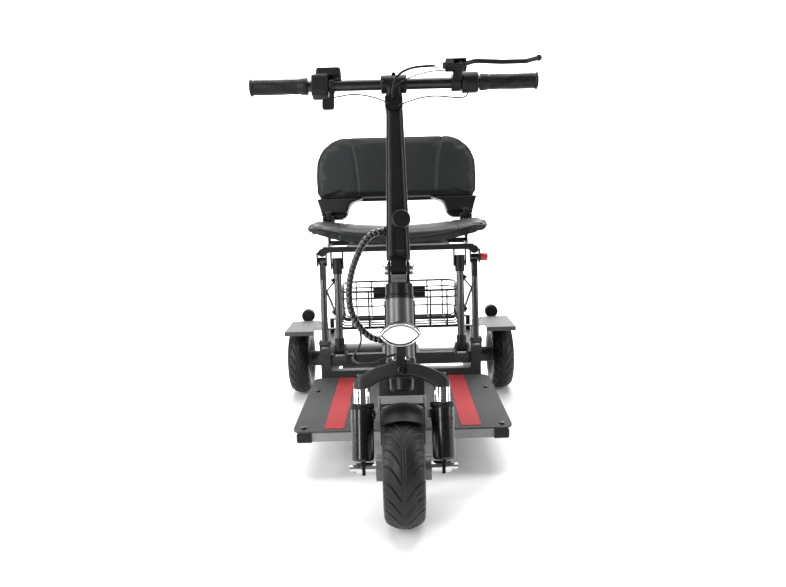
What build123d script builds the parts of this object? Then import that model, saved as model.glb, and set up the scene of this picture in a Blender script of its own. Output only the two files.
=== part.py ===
from build123d import *
from math import cos, pi, radians, sin, tan
import os

os.makedirs("parts", exist_ok=True)

# A folding three-wheel electric scooter, in millimetres. Its front faces -Y, +X is the rider's left and
# +Z is up. The origin lies on the floor, under the middle of the whole vehicle.

# Running gear
WHEELBASE = 819
FRONT_TYRE_R = 107
FRONT_TYRE_W = 73
FRONT_RIM_R = 64
REAR_TYRE_R = 102
REAR_TYRE_W = 62
REAR_RIM_R = 58
REAR_TRACK = 604
AXLE_R = 6
STUB_R = 8
RUNNING = 0.05
SEATED = 0.3

# Steering and fork, in a frame that leans back by RAKE: forward is towards -Y, up is along the axis
RAKE = 17.5
FORK_OFFSET = 31
LEG_SPACING = 149
LEG_R = 21
LEG_BOTTOM = 13
LEG_TOP = 116
STANCHION_R = 15
CROWN_LOW = 142
CROWN_THICK = 24
CROWN_TOP = 190
STEERER_R = 14
HEAD_R = 27
HEAD_LENGTH = 129
FORK_TRAVEL = 16
MUDGUARD_GAP = 10
MUDGUARD_W = 77
MUDGUARD_SHEET = 2

# Folding stem and handlebar
PIVOT_ABOVE_HEAD = 54
STEM_LENGTH = 383
STEM_BASE = (47, 54)
STEM_HEAD = (32, 38)
STEM_WALL = 3
PIN_R = 6
BAR_LENGTH = 586
BAR_R = 11.1
GRIP_LENGTH = 118
GRIP_R = 15.8

# Deck and frame
DECK_W = 465
DECK_SETBACK = 182
REAR_BAY = 245
DECK_TOP = 110
DECK_SHEET = 4
DECK_CORNER = 22
TUBE_H = 18.8
STRIP_W = 43
STRIP_INSET = 66
BEAM_W = 27
BEAM_SPACING = 402
BEAM_TOP = 192
BEAM_LOW = 84
NECK_W = 60
GUSSET_W = 92
BOX_WALL = 3

# Seat frame and seat
POST_LEAN = 6.93
POST_LENGTH = 219.6
FRONT_POST_SPACING = 316
FRONT_POST_R = 10
SLEEVE_R = 12.5
REAR_POST_R = 9
RAIL_R = 11
SEAT_W = 466
SEAT_DEPTH = 266
BACK_W = 474
BACK_H = 181
BACK_PAD = 34

# Places that follow from the sizes above
FRONT_AXLE_Y = -(WHEELBASE + REAR_TYRE_R - FRONT_TYRE_R) / 2
REAR_AXLE_Y = FRONT_AXLE_Y + WHEELBASE
DECK_FRONT = FRONT_AXLE_Y + DECK_SETBACK
DECK_REAR = REAR_AXLE_Y - REAR_BAY
DECK_UNDER = DECK_TOP - DECK_SHEET
TUBE_TOP = DECK_UNDER
TUBE_LOW = TUBE_TOP - TUBE_H
HEAD_LOW = CROWN_TOP + 0.5
HEAD_TOP = HEAD_LOW + HEAD_LENGTH
STEM_PIVOT = HEAD_TOP + PIVOT_ABOVE_HEAD
BAR_AT = STEM_PIVOT + STEM_LENGTH
LEG_X = LEG_SPACING / 2
BEAM_X = BEAM_SPACING / 2
BEAM_IN = BEAM_X - BEAM_W / 2
BEAM_OUT = BEAM_X + BEAM_W / 2
POST_X = FRONT_POST_SPACING / 2
WHEEL_X = REAR_TRACK / 2

STEER = Location(
    (0, FRONT_AXLE_Y + FORK_OFFSET * cos(radians(RAKE)), FRONT_TYRE_R - FORK_OFFSET * sin(radians(RAKE))),
    (-RAKE, 0, 0),
)

# Controls on the handlebar and the stem
LATCH_X = 4
LATCH_AT = STEM_PIVOT + 26
LATCH_OUT = STEM_BASE[1] / 2 + 9
PORT_FACE = 24
PORT_LOW = BAR_AT - 64
LOOM_PORT_AT = STEM_PIVOT + 76
LOOM_PORT_X = 27
BUTTON_R = 6
LEVER_X = 132
LEVER_Y = -50
LEVER_Z = BAR_AT + 12
LEVER_TILT = 13.5

# Lamp, fenders, basket and transaxle
LAMP_Y = FRONT_AXLE_Y + 23
LAMP_Z = 348
LAMP_W = 76
LAMP_H = 42
FENDER_Z = BEAM_TOP + 24
FENDER_W = 83
FENDER_X = (WHEEL_X - 58, WHEEL_X - 58 + FENDER_W)
BASKET_LOW = BEAM_TOP + 42
BASKET_W = 330
BASKET_H = 105
HOUSING_R = 23
REAR_HUB = 30

# Cords, as their outside diameters
LOOM_D = 14
BRAKE_CABLE_D = 5
WIRE_D = 3
SWITCH_WIRE_D = 2.4
LAMP_CABLE_D = 4

# Backrest, drawn upright about its hinge line
BACK_LEAN = 8
BACK_LOW = 62
BACK_FRONT = 7
BACK_SHELL = 9
BACK_CORNER = 95

# Pivots of the seat's parallelogram, as (y, z)
FRONT_FOOT = (DECK_REAR - 49, DECK_TOP + 90)
REAR_FOOT = (DECK_REAR - 1, BEAM_TOP + 14)
POST_RUN = (POST_LENGTH * sin(radians(POST_LEAN)), POST_LENGTH * cos(radians(POST_LEAN)))
FRONT_HEAD = (FRONT_FOOT[0] + POST_RUN[0], FRONT_FOOT[1] + POST_RUN[1])
REAR_HEAD = (REAR_FOOT[0] + POST_RUN[0], REAR_FOOT[1] + POST_RUN[1])
RAIL_Z = REAR_HEAD[1] + 22
RAIL_FRONT = REAR_HEAD[0] - 8
BAR_TOP = RAIL_Z + 19
PAN_TOP = BAR_TOP + 4
CUSHION_FRONT = FRONT_HEAD[0] - 32
CUSHION_REAR = CUSHION_FRONT + SEAT_DEPTH
HINGE_Y = CUSHION_REAR + 17
HINGE_Z = PAN_TOP + 54


def block(x, y, z):
    """A box between pairs of limits on each axis."""
    middle = [(pair[0] + pair[1]) / 2 for pair in (x, y, z)]
    sides = [abs(pair[1] - pair[0]) for pair in (x, y, z)]
    return Pos(*middle) * Box(*sides)


def rod(start, end, radius):
    """A round bar between two points."""
    along = Vector(*end) - Vector(*start)
    return extrude(Plane(origin=start, z_dir=along) * Circle(radius), along.length)


def across(x, y, z, radius):
    """A round bar along X between two x values, at (y, z)."""
    return rod((min(x), y, z), (max(x), y, z), radius)


def side_profile(outline, x):
    """A (y, z) outline extruded along X between two x values."""
    face = make_face(Polyline(*outline, close=True))
    return extrude(Plane.YZ.offset(min(x)) * face, abs(x[1] - x[0]))


def box_section(outline, x, wall):
    """A (y, z) outline extruded along X as a closed hollow box with walls of one thickness."""
    inner = offset(make_face(Polyline(*outline, close=True)), -wall, kind=Kind.INTERSECTION)
    hollow = extrude(Plane.YZ.offset(min(x) + wall) * inner, abs(x[1] - x[0]) - 2 * wall)
    return side_profile(outline, x) - hollow


def front_profile(edges, y):
    """A face drawn in (x, z), extruded along +Y between two y values."""
    face = Plane.XZ.offset(-max(y)) * make_face(edges)
    return extrude(face, abs(y[1] - y[0]))


def both(part):
    """A part and its mirror image on the other side."""
    return Compound([*part.solids(), *mirror(part, about=Plane.YZ).solids()])


def group(*parts):
    """Several separate solids in one node."""
    return Compound([solid for part in parts for solid in part.solids()])


# Wheels

def tyre(radius, width, rim_radius):
    """A tubeless tyre about the X axis: a ring with a rounded crown and shoulders."""
    crown = 0.055 * radius
    shoulder = radius - 0.11 * radius
    half = width / 2
    edge = half - 0.16 * width
    section = make_face(
        Line((-edge, rim_radius), (edge, rim_radius))
        + ThreePointArc((edge, rim_radius), (half, (rim_radius + shoulder) / 2), (half - 3, shoulder))
        + ThreePointArc((half - 3, shoulder), (0, radius), (-half + 3, shoulder))
        + ThreePointArc((-half + 3, shoulder), (-half, (rim_radius + shoulder) / 2), (-edge, rim_radius))
    )
    return revolve(section, Axis.X)


def rim(rim_radius, width, hub_radius, hub_half, bore):
    """A cast rim about the X axis: a barrel, a hub and five spokes."""
    seat = rim_radius - RUNNING
    half = width / 2 - 0.16 * width
    barrel = across((-half, half), 0, 0, seat) - across((-half, half), 0, 0, seat - 6)
    hub = across((-hub_half, hub_half), 0, 0, hub_radius)
    spoke = block((-7, 7), (-9, 9), (hub_radius - 4, seat - 3))
    spokes = [Rot(X=72 * n) * spoke for n in range(5)]
    body = barrel + hub
    for one in spokes:
        body += one
    return body - across((-hub_half - 1, hub_half + 1), 0, 0, bore)


def at_front_axle(part):
    return Pos(0, FRONT_AXLE_Y, FRONT_TYRE_R) * part


def at_rear_axle(part, side):
    return Pos(side * WHEEL_X, REAR_AXLE_Y, REAR_TYRE_R) * part


# Steering: everything here is drawn in the leaning frame, then moved with STEER

def fork_crown():
    """An arched crown that clamps the two stanchions, with the steerer rising from its middle."""
    reach = LEG_X + 14
    foot = LEG_X - 10
    front_view = (
        ThreePointArc((-reach, CROWN_LOW + 16), (0, CROWN_TOP), (reach, CROWN_LOW + 16))
        + Line((reach, CROWN_LOW + 16), (reach, CROWN_LOW))
        + Line((reach, CROWN_LOW), (foot, CROWN_LOW))
        + ThreePointArc((foot, CROWN_LOW), (0, CROWN_TOP - CROWN_THICK), (-foot, CROWN_LOW))
        + Line((-foot, CROWN_LOW), (-reach, CROWN_LOW))
        + Line((-reach, CROWN_LOW), (-reach, CROWN_LOW + 16))
    )
    arch = front_profile(front_view, (-FORK_OFFSET - 30, 40))
    rings = [Pos(x, y) * CenterArc((0, 0), r, 0, 360)
             for x, y, r in ((0, 0, HEAD_R + 1), (-LEG_X, -FORK_OFFSET, LEG_R), (LEG_X, -FORK_OFFSET, LEG_R))]
    plan = make_hull([edge for ring in rings for edge in ring.edges()])
    crown = arch & extrude(Pos(Z=CROWN_LOW - 1) * plan, CROWN_TOP - CROWN_LOW + 2)
    crown += Pos(Z=CROWN_LOW - 5) * extrude(Circle(23), CROWN_TOP - CROWN_LOW - 8)
    crown += extrude(Pos(Z=CROWN_LOW) * Circle(STEERER_R), HEAD_TOP + 24 - CROWN_LOW)
    for side in (-1, 1):
        crown -= Pos(side * LEG_X, -FORK_OFFSET, CROWN_LOW - 1) * extrude(Circle(STANCHION_R + RUNNING), 60)
    return crown


def stanchions():
    tube_length = CROWN_LOW + 12 - 60
    leg = Pos(LEG_X, -FORK_OFFSET, 60) * extrude(Circle(STANCHION_R), tube_length)
    return both(leg)


def fork_lowers():
    """Lower legs that slide on the stanchions, with a seam ring, a brace boss and a dropout each."""
    leg = Pos(0, 0, LEG_BOTTOM) * extrude(Circle(LEG_R), LEG_TOP - LEG_BOTTOM)
    leg = fillet(leg.edges().group_by(Axis.Z)[0], 5)
    leg += Pos(0, 0, 83) * extrude(Circle(LEG_R + 1.3), 4)
    leg += block((-LEG_R - 4, -LEG_R + 4), (-8, 8), (88, 104))
    leg -= Pos(0, 0, 40) * extrude(Circle(STANCHION_R + RUNNING), LEG_TOP)
    leg += block((-5, 1), (-10, 10), (-12, LEG_BOTTOM + 2))
    leg -= across((-20, 20), 0, 0, AXLE_R + RUNNING)
    return both(Pos(LEG_X, -FORK_OFFSET, 0) * leg)


def front_axle():
    """The axle bolt with a spacer, a washer and a hexagon nut at each end."""
    outer = LEG_X + 1
    shaft = across((-outer - 23, outer + 23), 0, 0, AXLE_R)
    for side in (-1, 1):
        nut = extrude(Plane.YZ.offset(side * outer) * RegularPolygon(10.5, 6), side * 11)
        washer = across((side * outer, side * (outer + 2)), 0, 0, 12)
        spacer = across((side * 50.3, side * (LEG_X - 5)), 0, 0, 10)
        shaft += nut
        shaft += washer
        shaft += spacer
    return Pos(0, -FORK_OFFSET, 0) * shaft


def front_mudguard():
    """A curved sheet over the tyre, with a turned-down lip along each side."""
    inner = FRONT_TYRE_R + MUDGUARD_GAP - MUDGUARD_SHEET
    outer = inner + MUDGUARD_SHEET
    half = MUDGUARD_W / 2
    section = make_face(Polyline(
        (-half, inner - 6), (-half, outer), (half, outer), (half, inner - 6),
        (half - 2, inner - 6), (half - 2, inner), (-half + 2, inner), (-half + 2, inner - 6), close=True))
    start = Rot(X=-65) * (Plane.XZ * section)
    return Pos(0, -FORK_OFFSET, 0) * revolve(start, Axis.X, 108)


def mudguard_stay():
    """A bent strap that bridges the lower legs over the mudguard, with the mudguard's seat under it."""
    top = 129
    foot_x = LEG_X - LEG_R - 4
    outline = [(foot_x, 88), (foot_x, 105), (MUDGUARD_W / 2 + 6, 111), (MUDGUARD_W / 2 + 6, top)]
    inner = [(foot_x - 3, 88), (foot_x - 3, 103.5), (MUDGUARD_W / 2 + 3, 109.5), (MUDGUARD_W / 2 + 3, top - 3)]
    right = outline + [(-x, z) for x, z in reversed(outline)]
    left = inner + [(-x, z) for x, z in reversed(inner)]
    strap = front_profile(Polyline(*(right + left[::-1]), close=True), (-FORK_OFFSET - 9, -FORK_OFFSET + 7))
    seat_low = FRONT_TYRE_R + MUDGUARD_GAP + SEATED
    seat = block((-26, 26), (-FORK_OFFSET - 7, -FORK_OFFSET + 5), (seat_low, top - 2))
    return strap + seat


def head_tube():
    tube = extrude(Pos(Z=HEAD_LOW + 8) * Circle(HEAD_R), HEAD_LENGTH - 14)
    return tube - extrude(Pos(Z=HEAD_LOW) * Circle(HEAD_R - 6), HEAD_LENGTH)


def headset_cups():
    """The bearing cups at both ends of the head tube, with the steerer running in them."""
    bore = extrude(Pos(Z=HEAD_LOW - 1) * Circle(STEERER_R + RUNNING), HEAD_LENGTH + 2)
    low = extrude(Pos(Z=HEAD_LOW) * Circle(HEAD_R + 1.5), 8)
    low += extrude(Pos(Z=HEAD_LOW) * Circle(HEAD_R - 6 - RUNNING), 22)
    high = extrude(Pos(Z=HEAD_TOP - 6) * Circle(HEAD_R + 1.5), 6)
    high += extrude(Pos(Z=HEAD_TOP - 20) * Circle(HEAD_R - 6 - RUNNING), 20)
    return group(low - bore, high - bore)


def ear(centre_z, radius, base_z, half_depth, x):
    """A side plate with a round top about the pivot and a straight foot."""
    plate = across(x, 0, centre_z, radius)
    return plate + block(x, (-half_depth, half_depth), (base_z, centre_z))


def fold_clevis():
    """The collar on top of the steerer, with the two ears of the fold hinge."""
    collar_top = HEAD_TOP + 24
    collar = extrude(Pos(Z=HEAD_TOP + 0.5) * Circle(HEAD_R), collar_top - HEAD_TOP - 0.5)
    collar -= extrude(Pos(Z=HEAD_TOP) * Circle(STEERER_R + RUNNING), 40)
    for side in (-1, 1):
        collar += ear(STEM_PIVOT, 16, collar_top - 1, 16, (side * 15.4, side * 21.4))
    return collar - across((-30, 30), 0, STEM_PIVOT, PIN_R + RUNNING)


def hinge_hardware():
    """The fold pin with a domed knob at each end, and the clamp block under the knuckle."""
    pin = across((-26, 26), 0, STEM_PIVOT, PIN_R)
    for side in (-1, 1):
        knob = across((side * 21.6, side * 31), 0, STEM_PIVOT, 11)
        end = knob.edges().filter_by(GeomType.CIRCLE).sort_by(Axis.X)[-1 if side > 0 else 0]
        pin += fillet(end, 5)
    top = HEAD_TOP + 24
    clamp = block((-15, 15), (-24, 18), (top + 0.2, STEM_PIVOT - 15))
    return group(pin, clamp)


def stem():
    """The folding stem: a knuckle on the fold pin, a tapered box tube and the handlebar clamp."""
    foot = STEM_PIVOT + 21
    top = BAR_AT - 12
    knuckle = across((-15, 15), 0, STEM_PIVOT, 14)
    knuckle += block((-15, 15), (-14, 14), (STEM_PIVOT, foot + 2))
    outside = loft([
        Pos(Z=foot) * RectangleRounded(*STEM_BASE, 12),
        Pos(Z=top) * RectangleRounded(*STEM_HEAD, 11),
    ])
    wall = 2 * STEM_WALL
    inside = loft([
        Pos(Z=foot + 8) * RectangleRounded(STEM_BASE[0] - wall, STEM_BASE[1] - wall, 9),
        Pos(Z=top - 14) * RectangleRounded(STEM_HEAD[0] - wall, STEM_HEAD[1] - wall, 8),
    ])
    clamp = across((-26.5, 26.5), 0, BAR_AT, 18.5)
    clamp = fillet(clamp.edges().filter_by(GeomType.CIRCLE), 3)
    grommet = block((-19, 17), (-PORT_FACE, 0), (PORT_LOW, PORT_LOW + 32))
    grommet = fillet(grommet.edges().filter_by(Axis.Y), 7)
    gland = rod((-LOOM_PORT_X, 0, LOOM_PORT_AT), (0, 0, LOOM_PORT_AT), LOOM_D / 2 + 3)
    body = knuckle + (outside + grommet + gland - inside) + clamp
    lug = ear_pair(LATCH_AT, -LATCH_OUT)
    body += lug
    body -= across((-30, 30), 0, BAR_AT, BAR_R + RUNNING)
    return body - across((-30, 30), 0, STEM_PIVOT, PIN_R + RUNNING)


def ear_pair(z, y):
    """Two small ears on the stem's face that hold the latch's pin."""
    ears = None
    for side in (-1, 1):
        one = block((side * 9.4 + LATCH_X, side * 13 + LATCH_X), (y - 6, -18), (z - 6, z + 6))
        ears = one if ears is None else ears + one
    return ears + across((LATCH_X - 13, LATCH_X + 13), y, z, 3)


def latch_lever():
    """The fold latch: an arm that lies up the stem's face, with a round finger knob at its upper end."""
    arm = block((LATCH_X - 8.5, LATCH_X + 8.5), (-LATCH_OUT - 4, -LATCH_OUT + 4), (LATCH_AT - 8, LATCH_AT + 58))
    head = rod((LATCH_X + 3, -LATCH_OUT - 8, LATCH_AT + 64), (LATCH_X + 3, -LATCH_OUT + 4, LATCH_AT + 64), 18.5)
    head = fillet(head.edges().group_by(Axis.Y)[0], 4)
    barrel = across((LATCH_X - 8.9, LATCH_X + 8.9), -LATCH_OUT, LATCH_AT, 5)
    return arm + head + barrel - across((-40, 40), -LATCH_OUT, LATCH_AT, 3 + RUNNING)


def handlebar():
    half = BAR_LENGTH / 2 - 2
    return across((-half, half), 0, BAR_AT, BAR_R) - across((-half - 1, half + 1), 0, BAR_AT, BAR_R - 2)


def grips():
    """Rubber grips with an end flange on each side, closed at the outer end."""
    outer = BAR_LENGTH / 2
    inner = outer - GRIP_LENGTH
    grip = across((inner, outer), 0, BAR_AT, GRIP_R)
    grip += across((inner, inner + 4), 0, BAR_AT, GRIP_R + 2)
    grip += across((outer - 4, outer), 0, BAR_AT, GRIP_R + 2)
    grip -= across((inner - 1, outer - 1.9), 0, BAR_AT, BAR_R + RUNNING)
    return both(grip)


def throttle_housing():
    """The thumb throttle's housing, clamped to the bar beside the grip, with the display on top."""
    body = block((-167, -133), (-20, 18), (BAR_AT - 25, BAR_AT + 20))
    body = fillet(body.edges().filter_by(Axis.X), 9)
    screen = block((-158, -107), (-17, 14), (BAR_AT + 16, BAR_AT + 33))
    screen = fillet(screen.edges().filter_by(Axis.Z), 5)
    return body + screen - across((-190, -100), 0, BAR_AT, BAR_R + RUNNING)


def throttle_lever():
    """The thumb paddle: a ring round the bar with a blade that hangs below it."""
    ring = across((-132.6, -120), 0, BAR_AT, 15)
    blade = block((-146, -121), (-9, -4), (BAR_AT - 54, BAR_AT - 31))
    blade = fillet(blade.edges().filter_by(Axis.Y), 5)
    arm = block((-131, -121), (-9, -2), (BAR_AT - 36, BAR_AT - 9))
    return ring + blade + arm - across((-150, -100), 0, BAR_AT, BAR_R + RUNNING)


def switch_cluster():
    """The round switch housing beside the other grip, with a well for the horn button."""
    body = across((138, 172), 0, BAR_AT, 21)
    body = fillet(body.edges().filter_by(GeomType.CIRCLE), 4)
    body -= across((130, 180), 0, BAR_AT, BAR_R + RUNNING)
    return body - rod((155, 14, BAR_AT), (155, 30, BAR_AT), BUTTON_R + 0.3)


def horn_button():
    cap = rod((155, 16.5, BAR_AT), (155, 24, BAR_AT), BUTTON_R)
    return fillet(cap.edges().group_by(Axis.Y)[-1], 2)


def lever_frame(part):
    """Turns a part drawn flat about the lever's pivot so that its blade closes on the bar."""
    return Pos(LEVER_X, LEVER_Y, LEVER_Z) * Rot(X=-LEVER_TILT) * part


def brake_perch():
    """The lever's clamp on the bar, its body and the cable's barrel adjuster."""
    clamp = across((117, 137), 0, BAR_AT, 17)
    arm = lever_frame(block((-14, 4), (-2, 50), (-11, 5)))
    jaws = lever_frame(fillet(block((-30, 12), (-12, 10), (-10, 10)).edges().filter_by(Axis.X), 4))
    body = clamp + arm + jaws - lever_frame(block((-14, 30), (-30, 14), (-5.3, 5.3)))
    body += lever_frame(rod((-30, 0, 0), (-36, 0, 0), 6.5))
    body += lever_frame(rod((-36, 0, 0), (-52, 0, 0), 4.2))
    body += lever_frame(rod((0, 0, -11), (0, 0, 11), 3))
    return body - across((100, 140), 0, BAR_AT, BAR_R + RUNNING)


def brake_lever():
    """A curved two-finger blade with a ball end, on a boss about the pivot pin."""
    boss = extrude(Pos(Z=-5) * Circle(8), 10)
    route = [(0, 0, 0), (28, -11, 0), (80, -12, -5), (128, -4, 2), (156, 2, 15)]
    path = FilletPolyline(*route, radius=30)
    blade = sweep(Plane(origin=path @ 0, z_dir=path % 0) * Ellipse(4.2, 4.8), path)
    body = boss + blade + Pos(*route[-1]) * Sphere(6.5)
    return lever_frame(body - rod((0, 0, -20), (0, 0, 20), 3 + RUNNING))


# Headlight: level, in front of the head tube, carried by the crown

def eye(width, height):
    """The lamp's outline in (x, z): two arcs that meet in a point on each side."""
    return (ThreePointArc((-width / 2, 0), (0, height / 2), (width / 2, 0))
            + ThreePointArc((width / 2, 0), (0, -height / 2), (-width / 2, 0)))


def headlight_housing():
    """The lamp's shell and the bracket that stands on the crown's front face."""
    shell = Pos(0, 0, LAMP_Z) * front_profile(eye(LAMP_W, LAMP_H), (LAMP_Y, LAMP_Y + 26))
    pocket = Pos(0, 0, LAMP_Z) * front_profile(eye(LAMP_W - 10, LAMP_H - 8), (LAMP_Y - 1, LAMP_Y + 14))
    back = Pos(0, LAMP_Y + 24, LAMP_Z) * scale(Sphere(17), (1.3, 0.9, 0.9))
    front_face = -FORK_OFFSET - LEG_R
    strip = STEER * block((-8, 8), (front_face - 3.3, front_face - 0.3), (CROWN_TOP - 22, CROWN_TOP + 30))
    bolt = STEER * rod((0, front_face - 3, CROWN_TOP - 14), (0, front_face - 9, CROWN_TOP - 14), 7)
    arm = side_profile([(LAMP_Y + 14, LAMP_Z - 10), (LAMP_Y + 34, LAMP_Z - 10), (LAMP_Y + 26, LAMP_Z - 44),
                        (LAMP_Y + 14, LAMP_Z - 44)], (-8, 8))
    return shell + (back + arm) - pocket + strip + bolt


def headlight_lens():
    return Pos(0, 0, LAMP_Z) * front_profile(eye(LAMP_W - 11, LAMP_H - 9), (LAMP_Y + 3, LAMP_Y + 13.5))


# Frame and deck

def neck():
    """The box that carries the head tube, with a wider gusset that stands on the deck's front."""
    def on_tube(s, back):
        place = (STEER * Pos(0, back, s)).position
        return (place.Y, place.Z)
    front_low = DECK_FRONT - 37
    outline = [
        on_tube(HEAD_TOP - 8, 0), on_tube(HEAD_TOP - 8, 34), (DECK_FRONT + 35, DECK_TOP + 90),
        (DECK_FRONT + 62, DECK_TOP), (DECK_FRONT, DECK_TOP), (DECK_FRONT, TUBE_LOW), (front_low, TUBE_LOW),
        (front_low - 4, 160), on_tube(HEAD_LOW + 2, 42), on_tube(HEAD_LOW + 12, 26), on_tube(HEAD_LOW + 12, 0),
    ]
    gusset = [
        (DECK_FRONT + 22, DECK_TOP + 128), (DECK_FRONT + 62, DECK_TOP), (DECK_FRONT, DECK_TOP),
        (DECK_FRONT, TUBE_LOW), (front_low + 6, TUBE_LOW), (front_low + 4, 160), (DECK_FRONT - 22, DECK_TOP + 128),
    ]
    body = side_profile(outline, (-NECK_W / 2, NECK_W / 2))
    body += box_section(gusset, (-GUSSET_W / 2, GUSSET_W / 2), BOX_WALL)
    core = offset(make_face(Polyline(*outline, close=True)), -BOX_WALL, kind=Kind.INTERSECTION)
    inside = NECK_W / 2 - BOX_WALL
    body -= extrude(Plane.YZ.offset(-inside) * core, 2 * inside)
    hole = STEER * (Pos(Z=HEAD_LOW - 60) * extrude(Circle(HEAD_R + RUNNING), HEAD_LENGTH + 100))
    cups = STEER * (Pos(Z=HEAD_LOW - 60) * extrude(Circle(HEAD_R + 2), 69))
    cups += STEER * (Pos(Z=HEAD_TOP - 7) * extrude(Circle(HEAD_R + 2), 60))
    return body - hole - cups


def deck_plate():
    face = RectangleRounded(DECK_W, DECK_REAR - DECK_FRONT, DECK_CORNER)
    return extrude(Pos(0, (DECK_FRONT + DECK_REAR) / 2, DECK_UNDER) * face, DECK_SHEET)


def grip_strips():
    """Two anti-slip strips along the deck, near its sides."""
    outer = DECK_W / 2 - STRIP_INSET
    strip = block((outer - STRIP_W, outer), (DECK_FRONT + 12, DECK_REAR - 6), (DECK_TOP, DECK_TOP + 1.2))
    return both(fillet(strip.edges().filter_by(Axis.Z), 5))


def deck_screws():
    """Cap screws near the deck's corners and along its sides."""
    edge_x = DECK_W / 2 - 22
    long_y = DECK_REAR - DECK_FRONT
    screw = Pos(0, 0, DECK_TOP) * extrude(Circle(5.5), 2.4)
    along = [DECK_FRONT + 17, DECK_FRONT + 0.7 * long_y]
    return group(*[both(Pos(edge_x, y, 0) * screw) for y in along])


def deck_frame():
    """The welded tubes under the deck: a cross tube along its front edge and two side rails."""
    half = BEAM_X - 9
    tube = block((-half, half), (DECK_FRONT, DECK_FRONT + 25), (TUBE_LOW, TUBE_TOP))
    tube -= block((-half - 1, half + 1), (DECK_FRONT + 2.5, DECK_FRONT + 22.5), (TUBE_LOW + 2.5, TUBE_TOP - 2.5))
    rail = block((150, 180), (DECK_FRONT + 24, DECK_REAR), (TUBE_LOW, TUBE_TOP))
    rail -= block((152.5, 177.5), (DECK_FRONT + 25, DECK_REAR + 1), (TUBE_LOW + 2.5, TUBE_TOP - 2.5))
    return tube + rail + mirror(rail, about=Plane.YZ)


def bumper_caps():
    half = BEAM_X - 9
    cap = block((half, half + 32), (DECK_FRONT - 3, DECK_FRONT + 26), (TUBE_LOW - 1, TUBE_TOP))
    return both(fillet(cap.edges().group_by(Axis.X)[-1], 4))


def side_beams():
    """The deep box beams behind the deck, from its rear edge to the rear axle."""
    rear = REAR_AXLE_Y + 30
    outline = [(DECK_REAR, TUBE_LOW), (DECK_REAR, BEAM_TOP), (rear - 14, BEAM_TOP), (rear, BEAM_TOP - 20),
               (rear, BEAM_LOW - 8), (rear - 60, BEAM_LOW - 8)]
    beam = box_section(outline, (BEAM_IN, BEAM_OUT), BOX_WALL)
    beam -= across((BEAM_IN - 1, BEAM_OUT + 1), REAR_AXLE_Y, REAR_TYRE_R, HOUSING_R + RUNNING)
    y, z = REAR_FOOT
    for x in (BEAM_X - 12.5, BEAM_X + 12.5):
        beam += block((x - 2, x + 2), (y - 10, y + 10), (BEAM_TOP - 3, z))
        beam += across((x - 2, x + 2), y, z, 10)
    beam += block((BEAM_X - 14.5, BEAM_X + 14.5), (y - 10, DECK_REAR + 2), (BEAM_TOP - 16, BEAM_TOP))
    beam += across((BEAM_X - 16.5, BEAM_X + 16.5), y, z, 4.5)
    return both(beam)


def rear_cross_frame():
    """The cross members between the side beams, and the brackets that carry the front posts' feet."""
    across_all = (-BEAM_IN, BEAM_IN)
    within = (-BEAM_IN - 1, BEAM_IN + 1)
    low = block(across_all, (DECK_REAR, DECK_REAR + 25), (TUBE_LOW, DECK_TOP + 19))
    low -= block(within, (DECK_REAR + BOX_WALL, DECK_REAR + 25 - BOX_WALL), (TUBE_LOW + BOX_WALL, DECK_TOP + 16))
    high = block(across_all, (DECK_REAR + 5, DECK_REAR + 23), (DECK_TOP + 31, DECK_TOP + 62))
    high -= block(within, (DECK_REAR + 8, DECK_REAR + 20), (DECK_TOP + 34, DECK_TOP + 59))
    y, z = FRONT_FOOT
    for side in (-1, 1):
        x = side * POST_X
        high += block((x - 17, x + 17), (y - 13, DECK_REAR + 6), (z - 28, z - 16))
        for plate in (x - 15, x + 15):
            high += block((plate - 2, plate + 2), (y - 12, y + 12), (z - 17, z))
            high += across((plate - 2, plate + 2), y, z, 12)
        high += across((x - 19, x + 19), y, z, 5)
    return group(low, high)


def drive_motor():
    """The rear transaxle: axle housing, gear case, motor can and the wheels' stub shafts."""
    inner = WHEEL_X - REAR_HUB - 1
    axle = across((-inner, inner), 0, 0, HOUSING_R)
    axle += across((-55, 45), 0, 0, 58)
    axle += across((-177, -50), 0, 0, 42)
    axle += across((BEAM_OUT + 0.2, BEAM_OUT + 8), 0, 0, 34)
    axle += across((-BEAM_OUT - 8, -BEAM_OUT - 0.2), 0, 0, 34)
    axle += across((-WHEEL_X - 30, WHEEL_X + 30), 0, 0, STUB_R)
    return Pos(0, REAR_AXLE_Y, REAR_TYRE_R) * axle


def controller():
    box = block((-52, 52), (DECK_REAR + 25 + SEATED, DECK_REAR + 130), (TUBE_LOW + 4, DECK_TOP + 56))
    return fillet(box.edges().filter_by(Axis.Y), 6)


def battery_pack():
    box = block((-138, 138), (DECK_FRONT + 85, DECK_REAR - 30), (60, DECK_UNDER - SEATED))
    return fillet(box.edges().filter_by(Axis.Z), 10)


def rear_fenders():
    """Folded sheets over the rear tyres, bolted to the outer faces of the side beams."""
    front = REAR_AXLE_Y - 140
    rear = REAR_AXLE_Y + 14
    y_low, z_low = REAR_AXLE_Y + 96, FENDER_Z - 40
    shape = [(front, FENDER_Z - 12), (front + 2.5, FENDER_Z - 12), (front + 2.5, FENDER_Z - 2.5),
             (rear, FENDER_Z - 2.5), (y_low, z_low - 2.5), (y_low, z_low), (rear + 0.6, FENDER_Z),
             (front, FENDER_Z)]
    sheet = side_profile(shape, FENDER_X)
    sheet += block((BEAM_OUT, FENDER_X[0] + 1), (front + 30, rear - 40), (FENDER_Z - 2.5, FENDER_Z))
    sheet += block((BEAM_OUT, BEAM_OUT + 2.5), (front + 30, rear - 40), (BEAM_TOP - 40, FENDER_Z))
    return both(sheet)


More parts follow.
